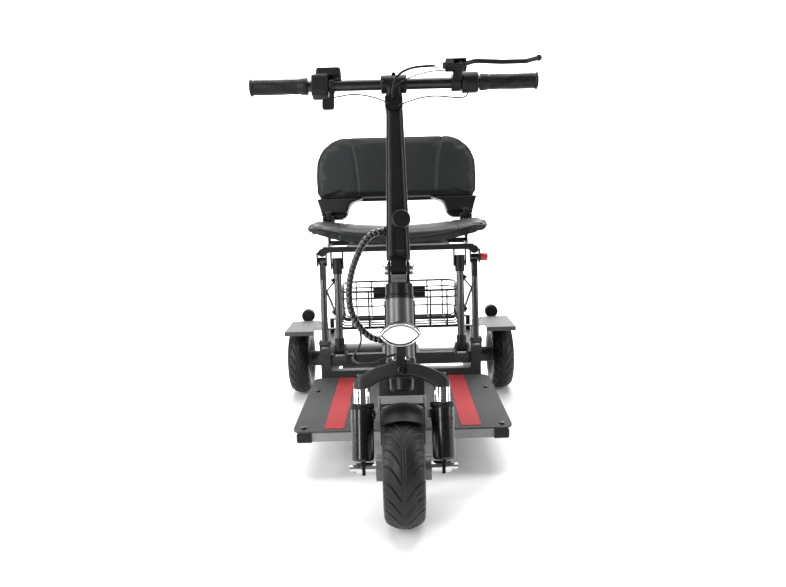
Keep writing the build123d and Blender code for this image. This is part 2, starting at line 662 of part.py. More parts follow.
def tail_lamps():
    """Round lamps that stand on the fenders' rear slopes."""
    y = REAR_AXLE_Y + 36
    x = (FENDER_X[0] + FENDER_X[1]) / 2 - 2
    can = rod((x, y, FENDER_Z + 10), (x, y + 24, FENDER_Z + 10), 20)
    can = fillet(can.edges().group_by(Axis.Y)[0], 5)
    can += block((x - 9, x + 9), (y + 2, y + 20), (FENDER_Z - 30, FENDER_Z + 2))
    slope = [(y - 60, 100), (y + 90, 100), (REAR_AXLE_Y + 96, FENDER_Z - 40 + SEATED),
             (REAR_AXLE_Y + 14.6, FENDER_Z + SEATED), (y - 60, FENDER_Z + SEATED)]
    return both(can - side_profile(slope, (x - 40, x + 40)))


def basket():
    """The wire basket's outer shape: an open tray with rounded corners and thin walls."""
    y = (DECK_REAR + 30, REAR_AXLE_Y - 14)
    low, high = BASKET_LOW, BASKET_LOW + BASKET_H
    size = (BASKET_W, y[1] - y[0])
    place = Pos(0, (y[0] + y[1]) / 2, low)
    tray = extrude(place * RectangleRounded(*size, 40), high - low)
    tray -= extrude(Pos(Z=3) * place * RectangleRounded(size[0] - 6, size[1] - 6, 37), high - low)
    rails = None
    for rail_y in (y[0] + 30, y[1] - 30):
        bar = block((-BEAM_X - 6, BEAM_X + 6), (rail_y - 8, rail_y + 8), (low - 4, low))
        for side in (-1, 1):
            bar += block((side * (BEAM_X - 6), side * (BEAM_X + 6)), (rail_y - 8, rail_y + 8), (BEAM_TOP, low - 2))
        tray += bar
    return tray


# Folding seat frame

def along_post(foot, distance):
    """A point on a post's axis at a distance from its foot, as (y, z)."""
    return (foot[0] + distance * sin(radians(POST_LEAN)), foot[1] + distance * cos(radians(POST_LEAN)))


def post_rod(x, foot, start, end, radius):
    low = along_post(foot, start)
    high = along_post(foot, end)
    return rod((x, *low), (x, *high), radius)


def front_posts():
    return both(post_rod(POST_X, FRONT_FOOT, 24, POST_LENGTH - 16, FRONT_POST_R))


def post_sleeves():
    """The black feet and heads of the front posts, bored for their pivot pins."""
    foot = across((POST_X - 12.5, POST_X + 12.5), *FRONT_FOOT, 12.5)
    foot += post_rod(POST_X, FRONT_FOOT, 0, 30, SLEEVE_R)
    foot -= across((POST_X - 20, POST_X + 20), *FRONT_FOOT, 5 + RUNNING)
    head = post_rod(POST_X, FRONT_FOOT, POST_LENGTH - 24, POST_LENGTH + 18, SLEEVE_R)
    head -= across((POST_X - 20, POST_X + 20), *FRONT_HEAD, 4 + RUNNING)
    tube = post_rod(POST_X, FRONT_FOOT, 24, POST_LENGTH - 16, FRONT_POST_R + RUNNING)
    return both(group(foot - tube, head - tube))


def knee_brackets():
    """Bent strips bolted to the outer side of each front post, kneed out towards the rear post."""
    edge = POST_X + FRONT_POST_R + SEATED
    knee = BEAM_X - 11.5
    low, mid, high = 98, 152, 174
    outline = [(edge, low - 8), (edge + 3, low - 8), (edge + 3, low + 5), (knee, mid), (edge + 3, high + 1),
               (edge + 3, high + 12), (edge, high + 12), (edge, high - 1), (knee - 3.6, mid), (edge, low + 6)]
    strip = front_profile(Polyline(*outline, close=True), (-7, 20))
    strip += rod((edge - 0.2, 0, low), (edge + 7, 0, low), 4)
    strip += rod((edge - 0.2, 0, high + 6), (edge + 7, 0, high + 6), 4)
    strip -= rod((POST_X, 0, 0), (POST_X, 0, 400), FRONT_POST_R + RUNNING)
    return both(Location((0, *FRONT_FOOT), (-POST_LEAN, 0, 0)) * strip)


def rear_posts():
    """The rear posts, with an eye at each end and a strap bar down the front of the upper half."""
    x = BEAM_X
    post = post_rod(x, REAR_FOOT, 0, POST_LENGTH, REAR_POST_R)
    for y, z in (REAR_FOOT, REAR_HEAD):
        post += across((x - 9.6, x + 9.6), y, z, 9.6)
    lean = Location((0, *REAR_FOOT), (-POST_LEAN, 0, 0))
    post += lean * block((x - 7, x + 7), (-12, -6), (POST_LENGTH - 50, POST_LENGTH - 12))
    post += lean * rod((x, -11, POST_LENGTH - 44), (x, -16, POST_LENGTH - 44), 5)
    post -= across((x - 20, x + 20), *REAR_FOOT, 4.5 + RUNNING)
    post -= across((x - 20, x + 20), *REAR_HEAD, 5)
    return both(post)


def seat_frame():
    """Side rails with end caps, cross bars, and the lugs that hang over the posts' heads."""
    x = BEAM_X
    rear = HINGE_Y + 12
    rail = rod((x, RAIL_FRONT, RAIL_Z), (x, rear, RAIL_Z), RAIL_R)
    rail = fillet(rail.edges().filter_by(GeomType.CIRCLE), 2)
    y, z = FRONT_HEAD
    rail += block((x - 23, x - 8), (y - 8, y + 90), (RAIL_Z + 3, BAR_TOP))
    for lug in (POST_X - 15, POST_X + 15):
        rail += block((lug - 2, lug + 2), (y - 9, y + 9), (z - 10, RAIL_Z + 8))
    rail += across((POST_X - 17, POST_X + 17), y, z, 4)
    y, z = REAR_HEAD
    for lug in (x - 12, x + 12):
        rail += block((lug - 1.8, lug + 1.8), (y - 22, y + 9), (z - 12, RAIL_Z + 2))
    rail += across((x - 13, x + 13), y, z, 4.5)
    rail += block((x - 4, x + 4), (HINGE_Y - 10, HINGE_Y + 10), (RAIL_Z, HINGE_Z - 12))
    rail -= across((x + 8, x + 20), y - 14, z + 2, 4 + RUNNING)
    frame = rail + mirror(rail, about=Plane.YZ)
    low = BAR_TOP - 14
    front = block((-POST_X - 24, POST_X + 24), (FRONT_HEAD[0] - 8, FRONT_HEAD[0] + 8), (low, BAR_TOP))
    back = block((-POST_X - 40, POST_X + 40), (HINGE_Y - 52, HINGE_Y - 36), (low, BAR_TOP))
    return frame + front + back


def lock_knob():
    """The red pull knob on its spring pin, at the side of the seat frame."""
    x = BEAM_X + 13.8
    y, z = REAR_HEAD[0] - 14, REAR_HEAD[1] + 2
    knob = across((x + 0.5, x + 20), y, z, 10.5)
    knob = fillet(knob.edges().filter_by(GeomType.CIRCLE), 3)
    return knob + across((x - 3, x + 2), y, z, 4)


def seat_pan():
    pan = block((-131, 131), (CUSHION_FRONT + 13, HINGE_Y - 34), (BAR_TOP, PAN_TOP))
    return fillet(pan.edges().filter_by(Axis.Z), 20)


def seat_cushion():
    """A dished cushion: its sides stand higher than its middle."""
    half = SEAT_W / 2
    low, high = PAN_TOP + SEATED, PAN_TOP + 54
    outline = (
        ThreePointArc((-half + 8, high - 24), (0, low), (half - 8, high - 24))
        + Line((half - 8, high - 24), (half, high - 2))
        + ThreePointArc((half, high - 2), (0, high - 22), (-half, high - 2))
        + Line((-half, high - 2), (-half + 8, high - 24))
    )
    body = front_profile(outline, (CUSHION_FRONT, CUSHION_REAR))
    plan = RectangleRounded(SEAT_W, SEAT_DEPTH, 60)
    plan = extrude(Pos(0, (CUSHION_FRONT + CUSHION_REAR) / 2, low - 10) * plan, 120)
    return body & plan


def hinge_blocks():
    """The fixed halves of the backrest's hinges, on uprights from the side rails."""
    x = BEAM_X
    body = block((x - 17, x + 17), (HINGE_Y - 13, HINGE_Y + 13), (HINGE_Z - 12, HINGE_Z + 12))
    body = fillet(body.edges().filter_by(Axis.X), 6)
    body -= block((x - 8.4, x + 8.4), (HINGE_Y - 20, HINGE_Y + 20), (HINGE_Z - 9, HINGE_Z + 20))
    body += across((x - 15, x + 15), HINGE_Y, HINGE_Z, 4)
    return both(body)


def upright(part):
    """Moves a part drawn upright about the hinge line to its place, leaning back."""
    return Location((0, HINGE_Y, HINGE_Z), (-BACK_LEAN, 0, 0)) * part


def back_face(width, low, high):
    """The backrest seen from the front, in (x, z): large upper corners and small lower ones."""
    face = Pos(0, (low + high) / 2) * Rectangle(width, high - low)
    top = face.vertices().group_by(Axis.Y)[-1]
    face = fillet(top, BACK_CORNER)
    return fillet(face.vertices().group_by(Axis.Y)[0], 26)


def at_depth(face, y):
    """An (x, z) face extruded along +Y between two y values."""
    return extrude(Plane.XZ.offset(-max(y)) * face, abs(y[1] - y[0]))


def backrest_pad():
    face = back_face(BACK_W, BACK_LOW, BACK_LOW + BACK_H)
    return upright(at_depth(face, (BACK_FRONT, BACK_FRONT + BACK_PAD)))


def backrest_shell():
    """The shell behind the pad, with two arms that come down and forward to the hinges."""
    behind = BACK_FRONT + BACK_PAD + SEATED
    back = behind + BACK_SHELL
    shell = at_depth(back_face(BACK_W - 8, BACK_LOW - 6, BACK_LOW + BACK_H - 4), (behind, back))
    foot = 19
    outline = [(96, BACK_LOW - SEATED), (BEAM_X - 64, BACK_LOW - 14), (BEAM_X - 54, foot), (BEAM_X + 21, foot),
               (BEAM_X + 34, BACK_LOW - SEATED)]
    arm = front_profile(Polyline(*outline, close=True), (2, back))
    tab = across((BEAM_X - 8, BEAM_X + 8), 0, 0, 8)
    tab += block((BEAM_X - 8, BEAM_X + 8), (-8, 8), (0, foot + 4))
    arm += tab
    arm -= across((BEAM_X - 20, BEAM_X + 20), 0, 0, 4 + RUNNING)
    return upright(shell + arm + mirror(arm, about=Plane.YZ))


# Cords: straight runs joined by tangent arcs, each arc as large as its two runs allow

def cord(name, route, diameter):
    points = [Vector(*point) for point in route]
    runs = [(after - before).length for before, after in zip(points, points[1:])]
    radii = []
    for n in range(1, len(points) - 1):
        turn = (points[n] - points[n - 1]).get_angle(points[n + 1] - points[n])
        radii.append(0.45 * min(runs[n - 1], runs[n]) / tan(radians(turn / 2)))
    path = FilletPolyline(*points, radius=radii)
    tube = sweep(Plane(origin=path @ 0, z_dir=path % 0) * Circle(diameter / 2), path)
    share = tube.volume / (pi * diameter ** 2 / 4 * path.length)
    print(name, "length", round(path.length, 1), "volume share", round(share, 4),
          "radii", [round(radius) for radius in radii], "runs", [round(run) for run in runs])
    return tube


def over_bar(route):
    """A route given above and below the handlebar's axis, in the leaning frame."""
    return [(x, y, BAR_AT + z) for x, y, z in route]


PORT_END = -PORT_FACE - SEATED
BRAKE_ROUTE = over_bar([
    (79.7, -50, 12), (54, -50, 12), (30, -48.5, 8.5), (11, -45, 0), (1, -41, -12), (-3, -37, -28),
    (-4, -32.5, -43), (-4, PORT_END, -43)])
SWITCH_ROUTE = over_bar([
    (101.7, -46, 4), (84, -46, 4), (62, -44.5, 1.5), (40, -41, -3), (20, -36.5, -10), (4, -34, -19),
    (-7, -32, -30), (-12, -29.5, -37.5), (-12, PORT_END, -38.5)])
LEFT_ROUTE = over_bar([
    (-132.6, 14, -19), (-116, 15.5, -17), (-97, 13, -14), (-77, 7, -16), (-58, -3, -24), (-40, -15, -34),
    (-27, -26, -44), (-18, -30, -51), (-13, -29.5, -54), (-13, PORT_END, -54)])
RIGHT_ROUTE = over_bar([
    (150, 2, -21.4), (149.4, 2, -26), (144, 1.5, -30.5), (134, 0.5, -32.5), (116, -1, -31.5), (96, -3, -29.5),
    (74, -7, -30.5), (54, -12, -36), (37, -20, -44), (24, -27.5, -52), (14, -30.5, -57), (9, -29.5, -59), (9, PORT_END, -59)])

# The loom leaves the stem's side, hangs in a wide bow and goes into the side of the neck. It is in two
# lengths that meet in the middle of the bow, because the stem folds above it and the fork turns below it.
LOOM_ROUTE = [
    (-LOOM_PORT_X - 0.4, 0, LOOM_PORT_AT), (-46, 0, LOOM_PORT_AT), (-67, 4, LOOM_PORT_AT - 17),
    (-83, 10, LOOM_PORT_AT - 48), (-95, 16, LOOM_PORT_AT - 80), (-100, 22, LOOM_PORT_AT - 114),
    (-99, 28, LOOM_PORT_AT - 146), (-88, 33, LOOM_PORT_AT - 175), (-70, 36.5, LOOM_PORT_AT - 197),
    (-50, 38, LOOM_PORT_AT - 211), (-30.4, 38, LOOM_PORT_AT - 211)]
LOOM_SPLIT = 5
LAMP_ROUTE = [
    (-80.6, 26, 264.4), (-79, 18.5, 255.5), (-76, 11, 243), (-77, 2, 229), (-83, -7, 216), (-90, -16, 206),
    (-91, -27, 197), (-83, -38, 191), (-68, -46, 188.5), (-50, -52, 190), (-33, -56, 196), (-19, -57, 203),
    (-8.5, -57, 204)]


def loom_halves():
    before = Vector(*LOOM_ROUTE[LOOM_SPLIT])
    after = Vector(*LOOM_ROUTE[LOOM_SPLIT + 1])
    half = (after - before) / 2
    end = before + half - half.normalized() * SEATED / 2
    start = before + half + half.normalized() * SEATED / 2
    upper = [Vector(*point) for point in LOOM_ROUTE[:LOOM_SPLIT + 1]] + [end]
    lower = [start] + [Vector(*point) for point in LOOM_ROUTE[LOOM_SPLIT + 1:]]
    return upper, lower


LOOM_UPPER, LOOM_LOWER = loom_halves()

nodes = {
    "front_tyre": at_front_axle(tyre(FRONT_TYRE_R, FRONT_TYRE_W, FRONT_RIM_R)),
    "front_rim": at_front_axle(rim(FRONT_RIM_R, FRONT_TYRE_W, 24, 50, AXLE_R + RUNNING)),
    "fork_crown": STEER * fork_crown(),
    "stanchions": STEER * stanchions(),
    "fork_lowers": STEER * fork_lowers(),
    "front_axle": STEER * front_axle(),
    "front_mudguard": STEER * front_mudguard(),
    "mudguard_stay": STEER * mudguard_stay(),
    "head_tube": STEER * head_tube(),
    "headset_cups": STEER * headset_cups(),
    "fold_clevis": STEER * fold_clevis(),
    "hinge_hardware": STEER * hinge_hardware(),
    "stem": STEER * stem(),
    "latch_lever": STEER * latch_lever(),
    "handlebar": STEER * handlebar(),
    "grips": STEER * grips(),
    "throttle_housing": STEER * throttle_housing(),
    "throttle_lever": STEER * throttle_lever(),
    "switch_cluster": STEER * switch_cluster(),
    "horn_button": STEER * horn_button(),
    "brake_perch": STEER * brake_perch(),
    "brake_lever": STEER * brake_lever(),
    "headlight_housing": headlight_housing(),
    "headlight_lens": headlight_lens(),
    "neck": neck(),
    "deck_plate": deck_plate(),
    "grip_strips": grip_strips(),
    "deck_screws": deck_screws(),
    "deck_frame": deck_frame(),
    "bumper_caps": bumper_caps(),
    "side_beams": side_beams(),
    "rear_cross_frame": rear_cross_frame(),
    "drive_motor": drive_motor(),
    "controller": controller(),
    "battery_pack": battery_pack(),
    "rear_fenders": rear_fenders(),
    "tail_lamps": tail_lamps(),
    "basket": basket(),
    "front_posts": front_posts(),
    "post_sleeves": post_sleeves(),
    "knee_brackets": knee_brackets(),
    "rear_posts": rear_posts(),
    "seat_frame": seat_frame(),
    "lock_knob": lock_knob(),
    "seat_pan": seat_pan(),
    "seat_cushion": seat_cushion(),
    "hinge_blocks": hinge_blocks(),
    "backrest_pad": backrest_pad(),
    "backrest_shell": backrest_shell(),
    "brake_cable": STEER * cord("brake_cable", BRAKE_ROUTE, BRAKE_CABLE_D),
    "switch_wire": STEER * cord("switch_wire", SWITCH_ROUTE, SWITCH_WIRE_D),
    "left_wire": STEER * cord("left_wire", LEFT_ROUTE, WIRE_D),
    "right_wire": STEER * cord("right_wire", RIGHT_ROUTE, WIRE_D),
    "loom_upper": STEER * cord("loom_upper", LOOM_UPPER, LOOM_D),
    "loom_lower": STEER * cord("loom_lower", LOOM_LOWER, LOOM_D),
    "lamp_cable": STEER * cord("lamp_cable", LAMP_ROUTE, LAMP_CABLE_D),
}
for side, name in ((-1, "left"), (1, "right")):
    nodes[f"rear_tyre_{name}"] = at_rear_axle(tyre(REAR_TYRE_R, REAR_TYRE_W, REAR_RIM_R), side)
    nodes[f"rear_rim_{name}"] = at_rear_axle(rim(REAR_RIM_R, REAR_TYRE_W, 24, REAR_HUB, STUB_R + RUNNING), side)

for name, shape in nodes.items():
    export_step(shape, f"parts/{name}.step")
print(len(nodes), "nodes")
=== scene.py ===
# %% [markdown]
# # A folding electric tricycle, finished in Blender
# The solids of the tricycle come from a CAD model. Each one is an object at the origin with its place in
# its mesh, and each rides on a moving body. This lesson gives them their real finishes and models what a
# plain solid can't show: cables, sewn cushions, tyre tread, basket wire, grips and small hardware.

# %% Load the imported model
import math

import bpy
from mathutils import Matrix, Vector


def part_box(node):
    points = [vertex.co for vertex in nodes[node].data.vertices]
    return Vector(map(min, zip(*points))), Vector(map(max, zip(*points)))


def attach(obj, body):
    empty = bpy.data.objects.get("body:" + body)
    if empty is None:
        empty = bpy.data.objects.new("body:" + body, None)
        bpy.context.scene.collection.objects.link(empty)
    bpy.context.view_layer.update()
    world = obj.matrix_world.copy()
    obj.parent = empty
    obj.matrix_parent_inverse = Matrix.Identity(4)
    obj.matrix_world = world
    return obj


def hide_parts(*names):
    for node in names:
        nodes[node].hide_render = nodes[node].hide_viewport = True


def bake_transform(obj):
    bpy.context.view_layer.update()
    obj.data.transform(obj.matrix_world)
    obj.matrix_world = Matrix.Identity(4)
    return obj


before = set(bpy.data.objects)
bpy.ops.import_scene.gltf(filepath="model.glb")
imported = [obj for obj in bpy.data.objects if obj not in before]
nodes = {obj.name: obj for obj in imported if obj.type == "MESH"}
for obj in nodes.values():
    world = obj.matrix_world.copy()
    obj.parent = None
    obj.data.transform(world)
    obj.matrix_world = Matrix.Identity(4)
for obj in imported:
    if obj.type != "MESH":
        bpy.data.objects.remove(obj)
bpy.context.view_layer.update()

# %% [markdown]
# ## The camera and the studio
# The tricycle stands straight in front of a wide lens, a little below the height of its handlebar, so the
# front wheel looms and the seat shrinks behind it. A slight roll matches how the vehicle leans in the
# frame. The studio is a white sweep with big soft lamps at both sides, because black gloss parts are only
# readable by the long bright strips that such lamps draw on them.

# %% Camera
LENS_MM = 29.95
CAMERA_PLACE = (0.0, -1.535, 0.611)
CAMERA_PITCH = 9.2
CAMERA_ROLL = -1.5
CAMERA_SHIFT = -0.008

camera_data = bpy.data.cameras.new("camera")
camera_data.lens = LENS_MM
camera_data.sensor_width = 36.0
camera_data.shift_x = CAMERA_SHIFT
camera = bpy.data.objects.new("camera", camera_data)
bpy.context.scene.collection.objects.link(camera)
turn = Matrix.Rotation(math.radians(90 - CAMERA_PITCH), 4, "X")
turn = turn @ Matrix.Rotation(math.radians(CAMERA_ROLL), 4, "Z")
camera.matrix_world = Matrix.Translation(CAMERA_PLACE) @ turn
bpy.context.scene.camera = camera
print("camera at", CAMERA_PLACE)


# %% Lamps and sweep
def soft_lamp(name, place, aim, size, power):
    data = bpy.data.lights.new(name, "AREA")
    data.shape = "RECTANGLE"
    data.size, data.size_y = size
    data.energy = power
    lamp = bpy.data.objects.new(name, data)
    bpy.context.scene.collection.objects.link(lamp)
    lamp.location = place
    lamp.rotation_euler = (Vector(aim) - Vector(place)).to_track_quat("-Z", "Y").to_euler()


soft_lamp("left_lamp", (-2.3, -0.9, 1.3), (0, 0, 0.45), (0.45, 2.2), 62)
soft_lamp("right_lamp", (2.3, -1.0, 1.4), (0, 0, 0.45), (0.45, 2.2), 44)
soft_lamp("top_lamp", (0, 0.3, 2.9), (0, 0.1, 0.4), (2.8, 2.4), 96)
soft_lamp("front_lamp", (-1.35, -2.7, 1.3), (0, -0.2, 0.4), (0.35, 1.9), 46)
soft_lamp("back_lamp", (0.4, 2.6, 2.2), (0, 0.2, 0.4), (2.4, 1.2), 60)
soft_lamp("wall_lamp", (0.0, 2.4, 3.2), (0, 4.5, 1.0), (5.0, 1.2), 330)

world = bpy.data.worlds.new("studio")
world.use_nodes = True
world.node_tree.nodes["Background"].inputs["Color"].default_value = (0.93, 0.94, 0.95, 1.0)
world.node_tree.nodes["Background"].inputs["Strength"].default_value = 0.11
bpy.context.scene.world = world
bpy.context.scene.view_settings.view_transform = "Standard"

SWEEP_SIDE = 16.0
WALL_Y = 4.5
for name, place, lean_back in (("floor", (0, 0, -0.0005), 0), ("wall", (0, WALL_Y, 0), 90)):
    turned_up = (math.radians(lean_back), 0, 0)
    bpy.ops.mesh.primitive_plane_add(size=SWEEP_SIDE, location=place, rotation=turned_up)
    bpy.context.object.name = name
white = bpy.data.materials.new("studio_white")
white.use_nodes = True
white_paint = white.node_tree.nodes["Principled BSDF"].inputs
white_paint["Base Color"].default_value = (0.86, 0.86, 0.86, 1.0)
white_paint["Roughness"].default_value = 0.9
white_paint["Specular IOR Level"].default_value = 0.1
for name in ("floor", "wall"):
    bpy.data.objects[name].data.materials.append(white)


# %% [markdown]
# ## Finishes
# Every finish starts from the same three layers: a colour that drifts a little from place to place, a
# roughness that drifts with it, and a fine relief. What tells powder coat from moulded plastic or rubber is
# the size and strength of those layers, so one helper builds them and each finish only states its numbers.

# %% A helper for finishes
def link(tree, source, target):
    tree.links.new(source, target)


def surface(name, colour, roughness, metallic=0.0, coat=0.0, drift=0.12, drift_scale=18.0, relief=0.15,
            relief_scale=900.0, depth=0.0002, streak=(1.0, 1.0, 1.0), flecks=None, sheen=0.0, shine=0.5):
    """A Principled finish with drifting colour and roughness, a fine relief and optional flecks."""
    material = bpy.data.materials.new(name)
    material.use_nodes = True
    tree = material.node_tree
    shader = tree.nodes["Principled BSDF"]
    shader.inputs["Metallic"].default_value = metallic
    shader.inputs["Specular IOR Level"].default_value = shine
    shader.inputs["Coat Weight"].default_value = coat
    shader.inputs["Coat Roughness"].default_value = 0.12
    shader.inputs["Sheen Weight"].default_value = sheen
    place = tree.nodes.new("ShaderNodeTexCoord")
    mapping = tree.nodes.new("ShaderNodeMapping")
    mapping.inputs["Scale"].default_value = streak
    link(tree, place.outputs["Object"], mapping.inputs["Vector"])

    clouds = tree.nodes.new("ShaderNodeTexNoise")
    clouds.inputs["Scale"].default_value = drift_scale
    clouds.inputs["Detail"].default_value = 4.0
    link(tree, mapping.outputs["Vector"], clouds.inputs["Vector"])
    tones = tree.nodes.new("ShaderNodeValToRGB")
    tones.color_ramp.elements[0].position = 0.3
    tones.color_ramp.elements[1].position = 0.7
    tones.color_ramp.elements[0].color = (*[c * (1 - drift) for c in colour], 1.0)
    tones.color_ramp.elements[1].color = (*[min(1.0, c * (1 + drift)) for c in colour], 1.0)
    link(tree, clouds.outputs["Fac"], tones.inputs["Fac"])
    paint = tones.outputs["Color"]

    wear = tree.nodes.new("ShaderNodeMapRange")
    wear.inputs["To Min"].default_value = roughness * 0.85
    wear.inputs["To Max"].default_value = min(1.0, roughness * 1.18)
    link(tree, clouds.outputs["Fac"], wear.inputs["Value"])
    link(tree, wear.outputs["Result"], shader.inputs["Roughness"])

    grain = tree.nodes.new("ShaderNodeTexNoise")
    grain.inputs["Scale"].default_value = relief_scale
    grain.inputs["Detail"].default_value = 3.0
    link(tree, mapping.outputs["Vector"], grain.inputs["Vector"])
    bump = tree.nodes.new("ShaderNodeBump")
    bump.inputs["Strength"].default_value = relief
    bump.inputs["Distance"].default_value = depth
    link(tree, grain.outputs["Fac"], bump.inputs["Height"])
    link(tree, bump.outputs["Normal"], shader.inputs["Normal"])

    for fleck_colour, fleck_scale, threshold in flecks or []:
        spots = tree.nodes.new("ShaderNodeTexNoise")
        spots.inputs["Scale"].default_value = fleck_scale
        spots.inputs["Detail"].default_value = 2.0
        link(tree, place.outputs["Object"], spots.inputs["Vector"])
        cut = tree.nodes.new("ShaderNodeMapRange")
        cut.inputs["From Min"].default_value = threshold
        cut.inputs["From Max"].default_value = threshold + 0.05
        link(tree, spots.outputs["Fac"], cut.inputs["Value"])
        blend = tree.nodes.new("ShaderNodeMix")
        blend.data_type = "RGBA"
        link(tree, cut.outputs["Result"], blend.inputs["Factor"])
        link(tree, paint, blend.inputs["A"])
        blend.inputs["B"].default_value = (*fleck_colour, 1.0)
        paint = blend.outputs["Result"]
    link(tree, paint, shader.inputs["Base Color"])
    return material


# %% Painted and bare metals
gloss_black = surface("gloss_black", (0.004, 0.004, 0.0043), 0.28, coat=0.35, relief=0.12, relief_scale=420,
                      depth=0.0001, shine=0.3, flecks=[((0.07, 0.07, 0.07), 620, 0.69)])
satin_black = surface("satin_black", (0.0035, 0.0035, 0.0038), 0.36, relief=0.12,
                      relief_scale=1400, depth=0.0001, shine=0.22)
crown_grey = surface("crown_grey", (0.016, 0.0165, 0.017), 0.36, metallic=0.3, relief=0.2, relief_scale=1100,
                     depth=0.0001, shine=0.4)
frame_grey = surface("frame_grey", (0.020, 0.0205, 0.0215), 0.46, relief=0.3, relief_scale=1500, shine=0.3,
                     flecks=[((0.10, 0.10, 0.10), 900, 0.68)])
head_grey = surface("head_grey", (0.085, 0.087, 0.09), 0.36, metallic=0.75, relief=0.15, relief_scale=1200)
post_grey = surface("post_grey", (0.060, 0.061, 0.063), 0.24, metallic=0.7, coat=0.3, relief=0.08,
                    relief_scale=900)
light_grey = surface("light_grey", (0.20, 0.203, 0.206), 0.40, metallic=0.2, relief=0.2, relief_scale=1300)
fender_grey = surface("fender_grey", (0.045, 0.046, 0.047), 0.5, relief=0.3, relief_scale=1200, shine=0.4)
steel = surface("steel", (0.55, 0.55, 0.56), 0.24, metallic=1.0, relief=0.1, relief_scale=700,
                streak=(1, 6, 6))
chrome = surface("chrome", (0.78, 0.78, 0.79), 0.09, metallic=1.0, drift=0.03, relief=0.03, relief_scale=300)
cast_alloy = surface("cast_alloy", (0.13, 0.133, 0.136), 0.42, metallic=0.8, relief=0.35, relief_scale=800)
motor_grey = surface("motor_grey", (0.050, 0.051, 0.053), 0.46, metallic=0.5, relief=0.35, relief_scale=900)
print("metal finishes made")

# %% Plastics, rubbers and the deck
black_plastic = surface("black_plastic", (0.004, 0.004, 0.0043), 0.42, relief=0.2, relief_scale=1700,
                        depth=0.0001, shine=0.22)
basket_coat = surface("basket_coat", (0.003, 0.003, 0.003), 0.40, relief=0.1, relief_scale=900,
                      depth=0.0001, shine=0.2)
tyre_rubber = surface("tyre_rubber", (0.0055, 0.0056, 0.006), 0.44, relief=0.2, relief_scale=1300,
                      depth=0.0001, shine=0.28, flecks=[((0.018, 0.018, 0.019), 1500, 0.66)])
grip_rubber = surface("grip_rubber", (0.004, 0.004, 0.0043), 0.42, relief=0.2, relief_scale=1500,
                      depth=0.0001, shine=0.25)
cable_sheath = surface("cable_sheath", (0.003, 0.003, 0.0032), 0.28, relief=0.12, relief_scale=1200,
                       depth=0.0001, shine=0.25)
deck_grit = surface("deck_grit", (0.045, 0.045, 0.047), 0.74, relief=0.9, relief_scale=1500, depth=0.0006,
                    shine=0.3, flecks=[((0.17, 0.17, 0.17), 1300, 0.60), ((0.010, 0.010, 0.010), 1000, 0.64)])
red_grit = surface("red_grit", (0.34, 0.030, 0.034), 0.76, relief=0.9, relief_scale=1400, depth=0.0006,
                   shine=0.3, flecks=[((0.52, 0.075, 0.085), 900, 0.58), ((0.07, 0.008, 0.010), 1100, 0.62)])
red_plastic = surface("red_plastic", (0.42, 0.012, 0.012), 0.28, coat=0.4, relief=0.1, relief_scale=600)
print("plastic, rubber and deck finishes made")

# %% Lamp glass
lens_clear = surface("lens_clear", (0.90, 0.92, 0.93), 0.12, coat=1.0, drift=0.04, relief=0.5,
                     relief_scale=160)
# A faint white emission on this finish is painted light: it makes the lens, and the bowl that shares this
# finish, read bright white.
painted_glow = lens_clear.node_tree.nodes["Principled BSDF"].inputs
painted_glow["Emission Color"].default_value = (1.0, 1.0, 1.0, 1.0)
painted_glow["Emission Strength"].default_value = 0.35
lens_red = surface("lens_red", (0.36, 0.008, 0.008), 0.14, coat=1.0, relief=0.6, relief_scale=260,
                   depth=0.0005)

# %% Grained leather
def leather(name, colour):
    """Imitation leather: round pebbles between fine creases, and a duller, paler tone where it is worn."""
    material = surface(name, colour, 0.46, drift=0.22, drift_scale=7.0, relief=0.0, sheen=0.02, shine=0.26)
    tree = material.node_tree
    shader = tree.nodes["Principled BSDF"]
    place = tree.nodes.new("ShaderNodeTexCoord")
    pebbles = tree.nodes.new("ShaderNodeTexVoronoi")
    pebbles.feature = "SMOOTH_F1"
    pebbles.inputs["Scale"].default_value = 620.0
    pebbles.inputs["Smoothness"].default_value = 0.6
    link(tree, place.outputs["Object"], pebbles.inputs["Vector"])
    creases = tree.nodes.new("ShaderNodeTexNoise")
    creases.inputs["Scale"].default_value = 55.0
    creases.inputs["Detail"].default_value = 6.0
    link(tree, place.outputs["Object"], creases.inputs["Vector"])
    fine = tree.nodes.new("ShaderNodeBump")
    fine.invert = True
    fine.inputs["Strength"].default_value = 0.45
    fine.inputs["Distance"].default_value = 0.0005
    link(tree, pebbles.outputs["Distance"], fine.inputs["Height"])
    broad = tree.nodes.new("ShaderNodeBump")
    broad.inputs["Strength"].default_value = 0.35
    broad.inputs["Distance"].default_value = 0.0012
    link(tree, creases.outputs["Fac"], broad.inputs["Height"])
    link(tree, fine.outputs["Normal"], broad.inputs["Normal"])
    link(tree, broad.outputs["Normal"], shader.inputs["Normal"])
    return material


charcoal_leather = leather("charcoal_leather", (0.0085, 0.0095, 0.010))
thread = surface("thread", (0.030, 0.031, 0.032), 0.7, relief=0.5, relief_scale=3000, shine=0.3)

